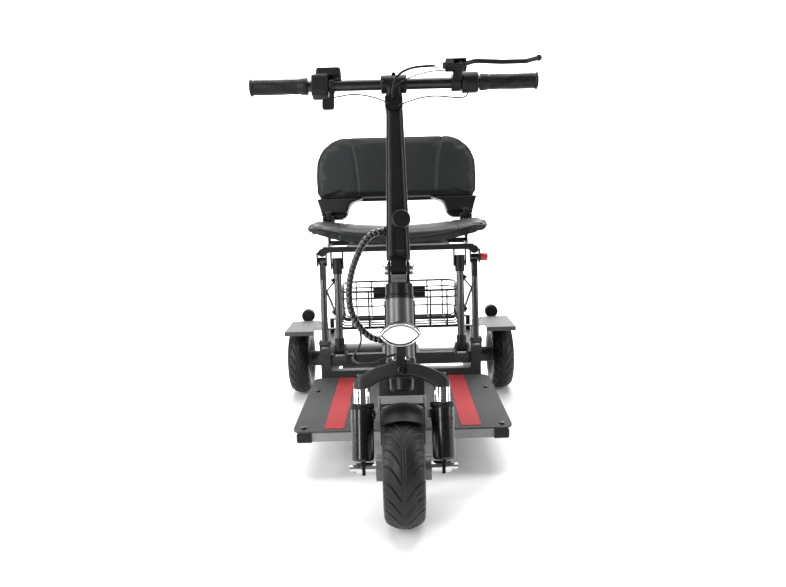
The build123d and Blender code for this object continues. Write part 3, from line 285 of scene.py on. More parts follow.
# %% Finishes for the solids that stay
FINISHES = {
    "front_rim": cast_alloy, "rear_rim_left": cast_alloy, "rear_rim_right": cast_alloy,
    "stanchions": chrome, "fork_lowers": gloss_black, "front_axle": steel,
    "mudguard_stay": light_grey, "head_tube": head_grey,
    "headset_cups": satin_black, "hinge_hardware": steel, "stem": satin_black,
    "latch_lever": satin_black, "handlebar": gloss_black, "grips": grip_rubber,
    "switch_cluster": black_plastic,
    "horn_button": red_plastic, "brake_lever": satin_black,
    "headlight_housing": black_plastic, "headlight_lens": lens_clear, "neck": frame_grey,
    "deck_plate": deck_grit, "grip_strips": red_grit, "deck_screws": gloss_black, "deck_frame": light_grey,
    "bumper_caps": grip_rubber, "side_beams": frame_grey, "rear_cross_frame": frame_grey,
    "drive_motor": motor_grey, "controller": black_plastic, "battery_pack": black_plastic,
    "rear_fenders": fender_grey, "tail_lamps": black_plastic, "front_posts": post_grey,
    "post_sleeves": black_plastic, "knee_brackets": satin_black, "rear_posts": post_grey,
    "seat_frame": gloss_black, "lock_knob": red_plastic, "seat_pan": light_grey,
}
for name, finish in FINISHES.items():
    mesh = nodes[name].data
    mesh.materials.clear()
    mesh.materials.append(finish)
print("solids finished:", len(FINISHES))

# %% [markdown]
# ## Places on the steering
# The steering leans back. Everything on it is easiest to place in a frame that leans with it: x across,
# y towards the rider and s up along the axis, in metres.

# %% The leaning frame
RAKE = math.radians(17.5)
AXLE_Y, AXLE_Z = -0.407, 0.107
FORK_OFFSET = 0.031
BAR_AT = 0.7565
LEAN = (Matrix.Translation((0, AXLE_Y + FORK_OFFSET * math.cos(RAKE), AXLE_Z - FORK_OFFSET * math.sin(RAKE)))
        @ Matrix.Rotation(-RAKE, 4, "X"))


def steered(x, y, s):
    return LEAN @ Vector((x, y, s))


print("bar centre", [round(v, 3) for v in steered(0, 0, BAR_AT)])

# %% [markdown]
# ## Cables
# A control cable is a steel wire in a springy sheath. It leaves each control straight, bows in the air and
# comes into the stem square to its face. A NURBS line through a few well placed points bends the way such a
# sheath does: it can't kink, and it needs no rounding by hand.

# %% A cable as a smooth line with thickness
def cable(name, route, diameter, finish):
    data = bpy.data.curves.new(name, "CURVE")
    data.dimensions = "3D"
    data.bevel_depth = diameter / 2
    data.bevel_resolution = 4
    data.resolution_u = 12
    data.use_fill_caps = True
    line = data.splines.new("NURBS")
    line.points.add(len(route) - 1)
    for point, place in zip(line.points, route):
        point.co = (*place, 1.0)
    line.order_u = 3
    line.use_endpoint_u = True
    piece = bpy.data.objects.new(name, data)
    bpy.context.scene.collection.objects.link(piece)
    data.materials.append(finish)
    return piece


PORT_END = -0.0243
brake_route = [
    (0.0797, -0.050, 0.012), (0.054, -0.050, 0.012), (0.030, -0.0485, 0.0085), (0.011, -0.045, 0.0),
    (0.001, -0.041, -0.012), (-0.003, -0.037, -0.028), (-0.004, -0.0325, -0.043),
    (-0.004, PORT_END, -0.043)]
switch_route = [
    (0.1017, -0.046, 0.004), (0.084, -0.046, 0.004), (0.062, -0.0445, 0.0015), (0.040, -0.041, -0.003),
    (0.020, -0.0365, -0.010), (0.004, -0.034, -0.019), (-0.007, -0.032, -0.030),
    (-0.012, -0.0295, -0.0375), (-0.012, PORT_END, -0.0385)]
left_route = [
    (-0.1326, 0.014, -0.019), (-0.116, 0.0155, -0.017), (-0.097, 0.013, -0.014), (-0.077, 0.007, -0.016),
    (-0.058, -0.003, -0.024), (-0.040, -0.015, -0.034), (-0.027, -0.026, -0.044),
    (-0.018, -0.030, -0.051), (-0.013, -0.0295, -0.054), (-0.013, PORT_END, -0.054)]
right_route = [
    (0.150, 0.002, -0.0214), (0.1494, 0.002, -0.026), (0.144, 0.0015, -0.0305), (0.134, 0.0005, -0.0325),
    (0.116, -0.001, -0.0315), (0.096, -0.003, -0.0295), (0.074, -0.007, -0.0305), (0.054, -0.012, -0.036),
    (0.037, -0.020, -0.044), (0.024, -0.0275, -0.052), (0.014, -0.0305, -0.057), (0.009, -0.0295, -0.059),
    (0.009, PORT_END, -0.059)]
BAR_CABLES = [("brake_sheath", "brake_cable", brake_route, 0.005, 0.1264),
              ("lever_switch_lead", "switch_wire", switch_route, 0.0024, 0.1324),
              ("throttle_lead", "left_wire", left_route, 0.003, 0.1453),
              ("horn_lead", "right_wire", right_route, 0.003, 0.1621)]
for name, node, route, diameter, length in BAR_CABLES:
    place = [steered(x, y, BAR_AT + s) for x, y, s in route]
    piece = cable(name, place, diameter, cable_sheath)
    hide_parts(node)
    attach(piece, "stem_body")
print("bar cables:", len(BAR_CABLES))

# %% [markdown]
# ## The loom
# All the leads run down the stem and cross to the frame in one loom. It hangs in a wide bow at the side, so
# that the stem can fold and the fork can turn without pulling on it. It is in two lengths that meet in the
# middle of the bow.

# %% The two lengths of the loom and the lamp's lead
LOOM_PORT = 0.4495
loom_route = [
    (-0.0274, 0.0, 0.0), (-0.046, 0.0, 0.0), (-0.067, 0.004, -0.017), (-0.083, 0.010, -0.048),
    (-0.095, 0.016, -0.080), (-0.100, 0.022, -0.114), (-0.099, 0.028, -0.146), (-0.088, 0.033, -0.175),
    (-0.070, 0.0365, -0.197), (-0.050, 0.038, -0.211), (-0.0304, 0.038, -0.211)]
loom_points = [steered(x, y, LOOM_PORT + s) for x, y, s in loom_route]
bow = (loom_points[5] + loom_points[6]) / 2
LOOM_D = 0.014
loom_upper = cable("loom_upper_core", loom_points[:6] + [bow], LOOM_D * 0.86, cable_sheath)
loom_lower = cable("loom_lower_core", [bow] + loom_points[6:], LOOM_D * 0.86, cable_sheath)
lamp_route = [
    (-0.0806, 0.026, 0.2644), (-0.079, 0.0185, 0.2555), (-0.076, 0.011, 0.243), (-0.077, 0.002, 0.229),
    (-0.083, -0.007, 0.216), (-0.090, -0.016, 0.206), (-0.091, -0.027, 0.197), (-0.083, -0.038, 0.191),
    (-0.068, -0.046, 0.1885), (-0.050, -0.052, 0.190), (-0.033, -0.056, 0.196), (-0.019, -0.057, 0.203),
    (-0.0085, -0.057, 0.204)]
lamp_points = [steered(*point) for point in lamp_route]
lamp_lead = cable("lamp_lead", lamp_points, 0.004, cable_sheath)


# %% A spiral wrap that follows the loom's own line
def line_of(piece):
    """Points along a cable's centre, read from its own smooth line."""
    bare = piece.data.copy()
    bare.bevel_depth = 0.0
    bare.use_fill_caps = False
    holder = bpy.data.objects.new("bare_line", bare)
    bpy.context.scene.collection.objects.link(holder)
    bpy.context.view_layer.update()
    mesh = bpy.data.meshes.new_from_object(holder)
    points = [vertex.co.copy() for vertex in mesh.vertices]
    bpy.data.objects.remove(holder)
    bpy.data.meshes.remove(mesh)
    return points


def even_steps(points, step):
    """The same line, walked in equal steps."""
    walked = [points[0]]
    left = step
    for start, end in zip(points, points[1:]):
        run = (end - start).length
        gone = 0.0
        while run - gone >= left:
            gone += left
            walked.append(start.lerp(end, gone / run))
            left = step
        left -= run - gone
    return walked


def new_mesh_piece(name, vertices, faces, finish):
    mesh = bpy.data.meshes.new(name)
    mesh.from_pydata([tuple(v) for v in vertices], [], faces)
    mesh.materials.append(finish)
    piece = bpy.data.objects.new(name, mesh)
    bpy.context.scene.collection.objects.link(piece)
    return piece


def swept(centres, outs, alongs, profile):
    """Vertices and faces of a profile carried along a line. Each ring lies in the plane of out and along."""
    vertices, faces = [], []
    count = len(profile)
    for centre, out, along in zip(centres, outs, alongs):
        vertices += [centre + out * a + along * b for a, b in profile]
    for ring in range(len(centres) - 1):
        for n in range(count):
            m = (n + 1) % count
            faces.append((ring * count + n, ring * count + m, (ring + 1) * count + m, (ring + 1) * count + n))
    faces.append(tuple(range(count))[::-1])
    faces.append(tuple((len(centres) - 1) * count + n for n in range(count)))
    return vertices, faces


def tidy_normals(piece):
    bpy.ops.object.select_all(action="DESELECT")
    bpy.context.view_layer.objects.active = piece
    piece.select_set(True)
    bpy.ops.object.mode_set(mode="EDIT")
    bpy.ops.mesh.select_all(action="SELECT")
    bpy.ops.mesh.remove_doubles(threshold=0.00001)
    bpy.ops.mesh.normals_make_consistent(inside=False)
    bpy.ops.object.mode_set(mode="OBJECT")


def spiral_wrap(name, core, radius, pitch, band, finish):
    line = even_steps(line_of(core), 0.0005)
    centres, outs, alongs = [], [], []
    side = Vector((0, 0, 1)).cross(line[1] - line[0]).normalized()
    turned = 0.0
    for n in range(1, len(line) - 1):
        ahead = (line[n + 1] - line[n - 1]).normalized()
        side = (side - ahead * side.dot(ahead)).normalized()
        up = ahead.cross(side)
        turned += 2 * math.pi * 0.0005 / pitch
        out = side * math.cos(turned) + up * math.sin(turned)
        around = -side * math.sin(turned) + up * math.cos(turned)
        lay = (ahead * 2 * math.pi * radius - around * pitch).normalized()
        centres.append(line[n] + out * radius)
        outs.append(out)
        alongs.append(lay)
    half = band / 2
    profile = [(-0.0008, -half), (0.0004, -half), (0.0011, -half * 0.5), (0.0013, 0.0), (0.0011, half * 0.5),
               (0.0004, half), (-0.0008, half)]
    piece = new_mesh_piece(name, *swept(centres, outs, alongs, profile), finish)
    tidy_normals(piece)
    piece.data.shade_smooth()
    return piece


wrap_plastic = surface("wrap_plastic", (0.007, 0.007, 0.0075), 0.18, coat=0.5, relief=0.08, relief_scale=500)
LOOM_BAND, LOOM_PITCH = 0.0068, 0.0095
wrap_upper = spiral_wrap("loom_upper_wrap", loom_upper, 0.0059, LOOM_PITCH, LOOM_BAND, wrap_plastic)
wrap_lower = spiral_wrap("loom_lower_wrap", loom_lower, 0.0059, LOOM_PITCH, LOOM_BAND, wrap_plastic)
upper_line, lower_line = line_of(loom_upper), line_of(loom_lower)
for core in (loom_upper, loom_lower):
    bpy.ops.object.select_all(action="DESELECT")
    bpy.context.view_layer.objects.active = core
    core.select_set(True)
    bpy.ops.object.convert(target="MESH")
    core.data.shade_smooth()
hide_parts("loom_upper")
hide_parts("loom_lower")
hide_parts("lamp_cable")
for piece in (loom_upper, wrap_upper):
    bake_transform(piece)
for piece in (loom_lower, wrap_lower):
    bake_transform(piece)
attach(lamp_lead, "fork")
lower_line.reverse()
print("loom wrap faces:", len(wrap_upper.data.polygons) + len(wrap_lower.data.polygons))

# %% [markdown]
# ## Tyres
# Each tyre has curved grooves that leave the middle along the tyre and sweep out to its shoulders, like the
# veins of a leaf, with short cuts between them. The carcass is a profile spun about the axle. The grooves
# are then pressed into the spun mesh: every point near a groove's line moves in towards the axle. That keeps
# the tyre one closed skin, and the pattern repeats exactly round the wheel.

# %% A spun carcass with a pressed tread
def spun(name, profile, centre, steps, finish):
    """A closed profile of (across, out) points, spun about the X axis through a centre."""
    bpy.ops.object.select_all(action="DESELECT")
    mesh = bpy.data.meshes.new(name)
    ring = [(centre[0] + x, centre[1], centre[2] + r) for x, r in profile]
    edges = [(n, (n + 1) % len(ring)) for n in range(len(ring))]
    mesh.from_pydata(ring, edges, [])
    mesh.materials.append(finish)
    piece = bpy.data.objects.new(name, mesh)
    bpy.context.scene.collection.objects.link(piece)
    bpy.context.view_layer.objects.active = piece
    piece.select_set(True)
    bpy.ops.object.mode_set(mode="EDIT")
    bpy.ops.mesh.select_all(action="SELECT")
    bpy.ops.mesh.spin(steps=steps, angle=2 * math.pi, center=centre, axis=(1, 0, 0))
    bpy.ops.mesh.select_all(action="SELECT")
    bpy.ops.mesh.remove_doubles(threshold=0.00002)
    bpy.ops.mesh.normals_make_consistent(inside=False)
    bpy.ops.object.mode_set(mode="OBJECT")
    piece.data.shade_smooth()
    return piece


def arc_through(start, middle, end, count):
    """Points on the circle through three points, from start up to but not including end."""
    (ax, ay), (bx, by), (cx, cy) = start, middle, end
    d = 2 * (ax * (by - cy) + bx * (cy - ay) + cx * (ay - by))
    ux = ((ax**2 + ay**2) * (by - cy) + (bx**2 + by**2) * (cy - ay) + (cx**2 + cy**2) * (ay - by)) / d
    uy = ((ax**2 + ay**2) * (cx - bx) + (bx**2 + by**2) * (ax - cx) + (cx**2 + cy**2) * (bx - ax)) / d
    radius = math.hypot(ax - ux, ay - uy)
    first, mid, last = (math.atan2(y - uy, x - ux) for x, y in (start, middle, end))
    sweep = (last - first) % (2 * math.pi)
    if (mid - first) % (2 * math.pi) > sweep:
        sweep -= 2 * math.pi
    turns = [first + sweep * n / count for n in range(count)]
    return [(ux + radius * math.cos(turn), uy + radius * math.sin(turn)) for turn in turns]


def groove_depth(x, along, pitch, edge):
    """How deep the tread is pressed at a place: x across from the middle, along the tyre's turn."""
    side = abs(x)
    inner = 0.0042
    share = (side - inner) / (edge - inner)
    deep = 0.0
    if 0.0 <= share <= 1.05:
        reach = pitch * 1.05
        line = reach * math.sin(math.pi / 2 * min(share, 1.0))
        slope = reach * math.pi / 2 / (edge - inner) * math.cos(math.pi / 2 * min(share, 1.0))
        gap = (along - line + pitch / 2) % pitch - pitch / 2
        half = 0.0011 + 0.0007 * share
        near = abs(gap) / math.sqrt(1 + slope * slope) / half
        deep = 0.0026 * max(0.0, 1.0 - max(0.0, near - 0.35) / 0.9)
        cut = (along - line + pitch * 0.5 + pitch / 2) % pitch - pitch / 2
        if 0.55 < share:
            near = abs(cut) / math.sqrt(1 + slope * slope) / 0.0007
            deep = max(deep, 0.0016 * max(0.0, 1.0 - max(0.0, near - 0.3)))
    middle = abs(side - 0.0022) / 0.0008
    deep = max(deep, 0.0013 * max(0.0, 1.0 - max(0.0, middle - 0.3)))
    return deep


def tyre(name, node, centre, radius, width, rim_radius, pitches, steps, body):
    half = width / 2
    shoulder = radius * 0.89
    bead = half - 0.16 * width
    wall = (rim_radius + shoulder) / 2
    profile = arc_through((half - 0.003, shoulder), (0.0, radius), (-half + 0.003, shoulder), 74)
    profile += arc_through((-half + 0.003, shoulder), (-half, wall), (-bead, rim_radius), 9)
    profile += [(-bead + 2 * bead * n / 3, rim_radius) for n in range(3)]
    profile += arc_through((bead, rim_radius), (half, wall), (half - 0.003, shoulder), 9)
    piece = spun(name, profile, centre, steps, tyre_rubber)
    pitch = 2 * math.pi * radius / pitches
    edge = half - 0.003
    for vertex in piece.data.vertices:
        x, y, z = (vertex.co[n] - centre[n] for n in range(3))
        out = math.hypot(y, z)
        if out > shoulder - 0.0015:
            along = math.atan2(y, z) * radius
            deep = groove_depth(x, along, pitch, edge)
            keep = (out - deep) / out
            vertex.co.y = centre[1] + y * keep
            vertex.co.z = centre[2] + z * keep
    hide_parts(node)
    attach(piece, body)
    print(name, "faces:", len(piece.data.polygons))
    return piece


tyre("front_tread", "front_tyre", (0, -0.407, 0.107), 0.107, 0.073, 0.064, 22, 660, "front_wheel")
for side, word in ((-1, "left"), (1, "right")):
    hub_place = (side * 0.302, 0.412, 0.102)
    tyre(f"rear_tread_{word}", f"rear_tyre_{word}", hub_place, 0.102, 0.062, 0.058, 21, 525, f"{word}_wheel")

# %% [markdown]
# ## The seat and the backrest
# Both are foam pads in grained imitation leather. The seat dips across its middle and its sides sweep up to
# thin lips. A pad looks stuffed only when its cover is slightly too small for the foam, so each starts from a
# shrunken copy of its solid, is covered with an even mesh and is blown up as cloth with air in it. Seams and
# stitches come after that, because they are finer than the mesh that the cloth needs.

# %% A stuffed pad
def stuffed(name, node, voxel, shrink, cap, hold):
    """A copy of a solid, shrunk, remeshed and swollen. The points that hold picks stay where they are."""
    mesh = nodes[node].data.copy()
    piece = bpy.data.objects.new(name, mesh)
    bpy.context.scene.collection.objects.link(piece)
    mesh.materials.clear()
    mesh.materials.append(charcoal_leather)
    tidy_normals(piece)
    for kind in ("REMESH", "SMOOTH", "DISPLACE"):
        changer = piece.modifiers.new(kind.lower(), kind)
        if kind == "REMESH":
            changer.mode = "VOXEL"
            changer.voxel_size = voxel
        elif kind == "SMOOTH":
            changer.factor = 0.5
            changer.iterations = 6
        else:
            changer.strength = -shrink
            changer.mid_level = 0.0
        bpy.ops.object.modifier_apply(modifier=changer.name)
    before = [vertex.co.copy() for vertex in piece.data.vertices]
    held = piece.vertex_groups.new(name="held")
    held.add([v.index for v in piece.data.vertices if hold(v.co, v.normal)], 1.0, "REPLACE")
    cloth = piece.modifiers.new("cloth", "CLOTH")
    cloth.settings.quality = 5
    cloth.settings.mass = 0.3
    cloth.settings.tension_stiffness = 12
    cloth.settings.compression_stiffness = 12
    cloth.settings.bending_stiffness = 6.0
    cloth.settings.use_pressure = True
    cloth.settings.uniform_pressure_force = 14.0
    cloth.settings.effector_weights.gravity = 0.0
    cloth.settings.vertex_group_mass = "held"
    cloth.point_cache.frame_start, cloth.point_cache.frame_end = 1, 20
    for step in range(1, 21):
        bpy.context.scene.frame_set(step)
    bpy.ops.object.modifier_apply(modifier="cloth")
    bpy.context.scene.frame_set(1)
    for vertex, start in zip(piece.data.vertices, before):
        move = vertex.co - start
        if move.length > cap:
            vertex.co = start + move * (cap / move.length)
    piece.vertex_groups.clear()
    finer = piece.modifiers.new("finer", "SUBSURF")
    finer.levels = finer.render_levels = 1
    bpy.ops.object.modifier_apply(modifier="finer")
    piece.data.shade_smooth()
    print(name, "vertices:", len(piece.data.vertices))
    return piece


HINGE = Vector((0, 0.3955, 0.523))
BACK = Matrix.Translation(HINGE) @ Matrix.Rotation(math.radians(-8), 4, "X")
TO_BACK = BACK.inverted()


def against_pan(place, normal):
    return normal.z < -0.6


def against_shell(place, normal):
    return (TO_BACK.to_3x3() @ normal).y > 0.6


seat = stuffed("seat_cover", "seat_cushion", 0.0046, 0.0005, 0.005, against_pan)
back = stuffed("backrest_cover", "backrest_pad", 0.0046, 0.0005, 0.005, against_shell)

# %% Seams pressed into the covers
def hit(piece, origin, direction):
    found, place, normal, _ = piece.ray_cast(origin, direction)
    return (place, normal) if found else None


def press(piece, depth_at):
    """Moves each point of a cover in along its normal by what depth_at says for its place."""
    moves = [v.normal * depth_at(v.co, v.normal) for v in piece.data.vertices]
    for vertex, move in zip(piece.data.vertices, moves):
        vertex.co -= move


def groove(distance, width, depth):
    return depth * math.exp(-((distance / width) ** 2))


SEAT_SEAM = 0.150
SEAM_WIDTH, SEAM_DEPTH = 0.0028, 0.0026
BACK_LOW, BACK_H = 0.062, 0.181


def seat_seams(place, normal):
    return groove(abs(place.x) - SEAT_SEAM, SEAM_WIDTH, SEAM_DEPTH) if normal.z > 0.1 else 0.0


def back_seam_x(height):
    """How far the backrest's seam stands from the middle at a height above the hinge."""
    share = (height - BACK_LOW) / BACK_H
    return 0.113 + 0.006 * share + 0.020 * share ** 3


def back_seams(place, normal):
    local = TO_BACK @ place
    if (TO_BACK.to_3x3() @ normal).y > -0.1:
        return 0.0
    return groove(abs(local.x) - back_seam_x(local.z), SEAM_WIDTH, SEAM_DEPTH)


def sharpen_sides(piece, start, end, wider):
    """Thins the sides towards their upper skin and draws them out, so that they end in a lip."""
    moves = []
    for vertex in piece.data.vertices:
        share = min(1.0, max(0.0, (abs(vertex.co.x) - start) / (end - start)))
        if share > 0.0:
            found = hit(piece, Vector((vertex.co.x, vertex.co.y, 0.6)), Vector((0, 0, -1)))
            top = found[0].z if found else vertex.co.z
            moves.append((vertex.index, share, top))
    for index, share, top in moves:
        place = piece.data.vertices[index].co
        place.z = top + (place.z - top) * (1 - 0.72 * share ** 1.5)
        place.x += math.copysign(wider * share, place.x)


sharpen_sides(seat, 0.150, 0.226, 0.004)
press(seat, seat_seams)
press(back, back_seams)

# %% [markdown]
# ## Piping and stitches
# A cord covered in the same leather is sewn in where the top panel meets the side band. Rows of thread
# run on both sides of each seam. The piping is a thin tube laid on the cover, and each stitch is a small
# spindle, drawn once and set down along the row by looking up the height of the cover below it.

# %% Laying things on a cover
def stitches(name, rows, length, thick, finish):
    """One mesh of small spindles, each given by its place, its direction and its normal."""
    vertices, faces = [], []
    ring = [(math.cos(2 * math.pi * n / 5), math.sin(2 * math.pi * n / 5)) for n in range(5)]
    for place, along, normal in rows:
        side = along.cross(normal).normalized()
        first = len(vertices)
        for share, size in ((-0.5, 0.35), (-0.25, 1.0), (0.25, 1.0), (0.5, 0.35)):
            centre = place + along * (length * share) + normal * (thick * (0.55 if abs(share) < 0.4 else 0.1))
            wide, tall = side * (thick * size), normal * (thick * size * 0.8)
            vertices += [centre + wide * a + tall * b for a, b in ring]
        for band in range(3):
            for n in range(5):
                m = (n + 1) % 5
                low = first + band * 5
                faces.append((low + n, low + 5 + n, low + 5 + m, low + m))
        faces.append(tuple(first + n for n in range(5)))
        faces.append(tuple(first + 15 + n for n in range(5))[::-1])
    piece = new_mesh_piece(name, vertices, faces, finish)
    tidy_normals(piece)
    piece.data.shade_smooth()
    return piece


def tube_on(name, centres, radius, finish, sides=8):
    """A closed tube through a loop of points."""
    count = len(centres)
    vertices, faces = [], []
    for n in range(count):
        ahead = (centres[(n + 1) % count] - centres[n - 1]).normalized()
        side = ahead.cross(Vector((0, 0, 1)))
        if side.length < 0.05:
            side = ahead.cross(Vector((0, 1, 0)))
        side.normalize()
        up = side.cross(ahead)
        for k in range(sides):
            angle = 2 * math.pi * k / sides
            vertices.append(centres[n] + side * (radius * math.cos(angle)) + up * (radius * math.sin(angle)))
    for n in range(count):
        m = (n + 1) % count
        for k in range(sides):
            j = (k + 1) % sides
            faces.append((n * sides + k, n * sides + j, m * sides + j, m * sides + k))
    piece = new_mesh_piece(name, vertices, faces, finish)
    tidy_normals(piece)
    piece.data.shade_smooth()
    return piece


def rounded_loop(half_x, half_y, radius, step):
    """Points round a rectangle with rounded corners, in even steps."""
    loop = []
    far_x, far_y = half_x - radius, half_y - radius
    for cx, cy, start in ((far_x, far_y, 0), (-far_x, far_y, 90), (-far_x, -far_y, 180), (far_x, -far_y, 270)):
        loop += [Vector((cx + radius * math.cos(math.radians(start + 90 * n / 16)),
                         cy + radius * math.sin(math.radians(start + 90 * n / 16)), 0)) for n in range(17)]
    loop.append(loop[0])
    return even_steps(loop, step)


# %% The seat's piping and rows
seat_low, seat_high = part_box("seat_cushion")
seat_mid = [(a + b) / 2 for a, b in zip(seat_low, seat_high)]
half_w = (seat_high[0] - seat_low[0]) / 2
half_d = (seat_high[1] - seat_low[1]) / 2
piping = []
for point in rounded_loop(half_w + 0.05, half_d + 0.05, 0.10, 0.006):
    level = 0.4855 + 0.026 * min(1.0, abs(point.x) / half_w) ** 2
    origin = Vector((point.x * 1.0, seat_mid[1] + point.y, level))
    aim = Vector((seat_mid[0] + point.x * 0.55, seat_mid[1] + point.y * 0.3, level)) - origin
    found = hit(seat, origin, aim.normalized())
    if found:
        piping.append(found[0] + found[1] * 0.0006)
seat_piping = tube_on("seat_piping", piping, 0.0022, charcoal_leather)
rows = []
for side in (-1, 1):
    for beside in (-0.0042, 0.0042):
        y = seat_low[1] + 0.012
        while y < seat_high[1] - 0.012:
            found = hit(seat, Vector((side * SEAT_SEAM + beside, y, 0.6)), Vector((0, 0, -1)))
            if found:
                rows.append((found[0], Vector((0, 1, 0)), found[1]))
            y += 0.0058
seat_stitches = stitches("seat_stitches", rows, 0.0040, 0.0006, thread)
print("seat stitches:", len(rows), "piping points:", len(piping))

# %% The backrest's piping and rows
BACK_TOP = BACK_LOW + BACK_H
piping = []
middle = (BACK_LOW + BACK_TOP) / 2
for point in rounded_loop(0.237 + 0.03, BACK_H / 2 + 0.03, 0.10, 0.006):
    origin = BACK @ Vector((point.x, 0.0135, middle + point.y))
    aim = (BACK @ Vector((point.x * 0.72, 0.0135, middle + point.y * 0.3))) - origin
    found = hit(back, origin, aim.normalized())
    if found:
        piping.append(found[0] + found[1] * 0.0004)
back_piping = tube_on("backrest_piping", piping, 0.0024, charcoal_leather)
rows = []
towards = BACK.to_3x3() @ Vector((0, 1, 0))
for side in (-1, 1):
    for beside in (-0.0042, 0.0042):
        height = BACK_LOW + 0.012
        while height < BACK_TOP - 0.010:
            x = side * (back_seam_x(height) + beside)
            ahead = side * (back_seam_x(height + 0.002) - back_seam_x(height))
            found = hit(back, BACK @ Vector((x, -0.06, height)), towards)
            if found:
                rows.append((found[0], (BACK.to_3x3() @ Vector((ahead, 0, 0.002))).normalized(), found[1]))
            height += 0.0058
back_stitches = stitches("backrest_stitches", rows, 0.0040, 0.0006, thread)
print("backrest stitches:", len(rows), "piping points:", len(piping))
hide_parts("seat_cushion")
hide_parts("backrest_pad")
for piece, body in ((seat, "seat"), (seat_piping, "seat"), (seat_stitches, "seat"), (back, "backrest"),
                    (back_piping, "backrest"), (back_stitches, "backrest")):
    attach(piece, body)

# %% [markdown]
# ## The basket
# It is welded from plastic-coated wire: two hoops at the rim, one lower down, a floor of wires that turn up
# into the walls, and a few uprights. A wire is a line with thickness, turned into a mesh and joined.

# %% Wire work
def bent_wire(points, radius, closed=False, corner=0.018):
    """A round wire through points, with its corners turned on an arc."""
    loop = [Vector(p) for p in points]
    line = []
    count = len(loop)
    for n, point in enumerate(loop):
        if not closed and n in (0, count - 1):
            line.append(point)
            continue
        before, after = loop[n - 1], loop[(n + 1) % count]
        back_way, on_way = (before - point), (after - point)
        reach = min(corner, back_way.length * 0.49, on_way.length * 0.49)
        start, end = point + back_way.normalized() * reach, point + on_way.normalized() * reach
        for k in range(7):
            t = k / 6
            line.append(start * (1 - t) ** 2 + point * 2 * t * (1 - t) + end * t * t)
    data = bpy.data.curves.new("wire", "CURVE")
    data.dimensions = "3D"
    data.bevel_depth = radius
    data.bevel_resolution = 2
    data.use_fill_caps = True
    spline = data.splines.new("POLY")
    spline.points.add(len(line) - 1)
    for spot, place in zip(spline.points, line):
        spot.co = (*place, 1.0)
    spline.use_cyclic_u = closed
    piece = bpy.data.objects.new("wire", data)
    bpy.context.scene.collection.objects.link(piece)
    return piece


def joined(name, parts, finish):
    """Several curves or meshes made into one mesh."""
    bpy.ops.object.select_all(action="DESELECT")
    for part in parts:
        part.select_set(True)
    bpy.context.view_layer.objects.active = parts[0]
    bpy.ops.object.convert(target="MESH")
    if len(parts) > 1:
        bpy.ops.object.join()
    piece = bpy.context.object
    piece.name = piece.data.name = name
    piece.data.materials.clear()
    piece.data.materials.append(finish)
    return piece

wires = []
FLOOR_Z, RIM_Z = 0.2355, 0.3375
HALF_X, FRONT_Y, REAR_Y = 0.1625, 0.1995, 0.3955
rim_loop = [(-HALF_X, FRONT_Y), (HALF_X, FRONT_Y), (HALF_X, REAR_Y), (-HALF_X, REAR_Y)]
for level, radius in ((RIM_Z - 0.0006, 0.0030), (0.3185, 0.0024), (0.262, 0.0024)):
    wires.append(bent_wire([(x, y, level) for x, y in rim_loop], radius, closed=True, corner=0.038))
TURN_UP_Z = 0.264
for y in (0.222, 0.252, 0.284, 0.316, 0.348, 0.376):
    bend = [(-HALF_X, TURN_UP_Z), (-HALF_X, FLOOR_Z), (HALF_X, FLOOR_Z), (HALF_X, TURN_UP_Z)]
    wires.append(bent_wire([(x, y, z) for x, z in bend], 0.0021, corner=0.026))
for x in (-0.128, -0.083, 0.083, 0.128):
    bend = [(FRONT_Y, RIM_Z), (FRONT_Y, FLOOR_Z), (REAR_Y, FLOOR_Z), (REAR_Y, RIM_Z)]
    wires.append(bent_wire([(x, y, z) for y, z in bend], 0.0023, corner=0.020))
for y in (0.245, 0.297, 0.350):
    for side in (-1, 1):
        x = side * HALF_X
        wires.append(bent_wire([(x, y, RIM_Z), (x, y, FLOOR_Z)], 0.0023))
basket = joined("basket_wires", wires, basket_coat)
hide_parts("basket")
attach(basket, "frame")
print("basket faces:", len(basket.data.polygons))


# %% Carriers, straps and a plate for the basket
def plate(name, low, high, edge, finish):
    """A block with softened edges, between two corners."""
    bpy.ops.object.select_all(action="DESELECT")
    centre = [(a + b) / 2 for a, b in zip(low, high)]
    bpy.ops.mesh.primitive_cube_add(size=1, location=centre)
    piece = bpy.context.object
    piece.scale = [abs(b - a) for a, b in zip(low, high)]
    bpy.ops.object.transform_apply(location=True, rotation=True, scale=True)
    piece.name = piece.data.name = name
    soften = piece.modifiers.new("soften", "BEVEL")
    soften.width = edge
    soften.segments = 3
    bpy.ops.object.modifier_apply(modifier="soften")
    piece.data.materials.append(finish)
    return piece


carriers = []
for y in (0.227, 0.368):
    near, far = y - 0.008, y + 0.008
    carriers.append(plate("carrier", (-0.207, near, 0.230), (0.207, far, 0.2337), 0.001, satin_black))
    for side in (-1, 1):
        low, high = (side * 0.195, near, 0.1923), (side * 0.207, far, 0.2330)
        carriers.append(plate("foot", low, high, 0.001, satin_black))
carriers.append(plate("back_plate", (-0.078, REAR_Y - 0.0055, 0.286), (0.078, REAR_Y - 0.0020, 0.320), 0.001,
                      satin_black))
basket_carriers = joined("basket_carriers", carriers, satin_black)
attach(basket_carriers, "frame")


# %% [markdown]
# ## Turned and screwed parts
# Grips, caps and screw heads are round, so each is a profile turned about its axis. One screw is modelled
# with its socket and copied wherever the tricycle has one.

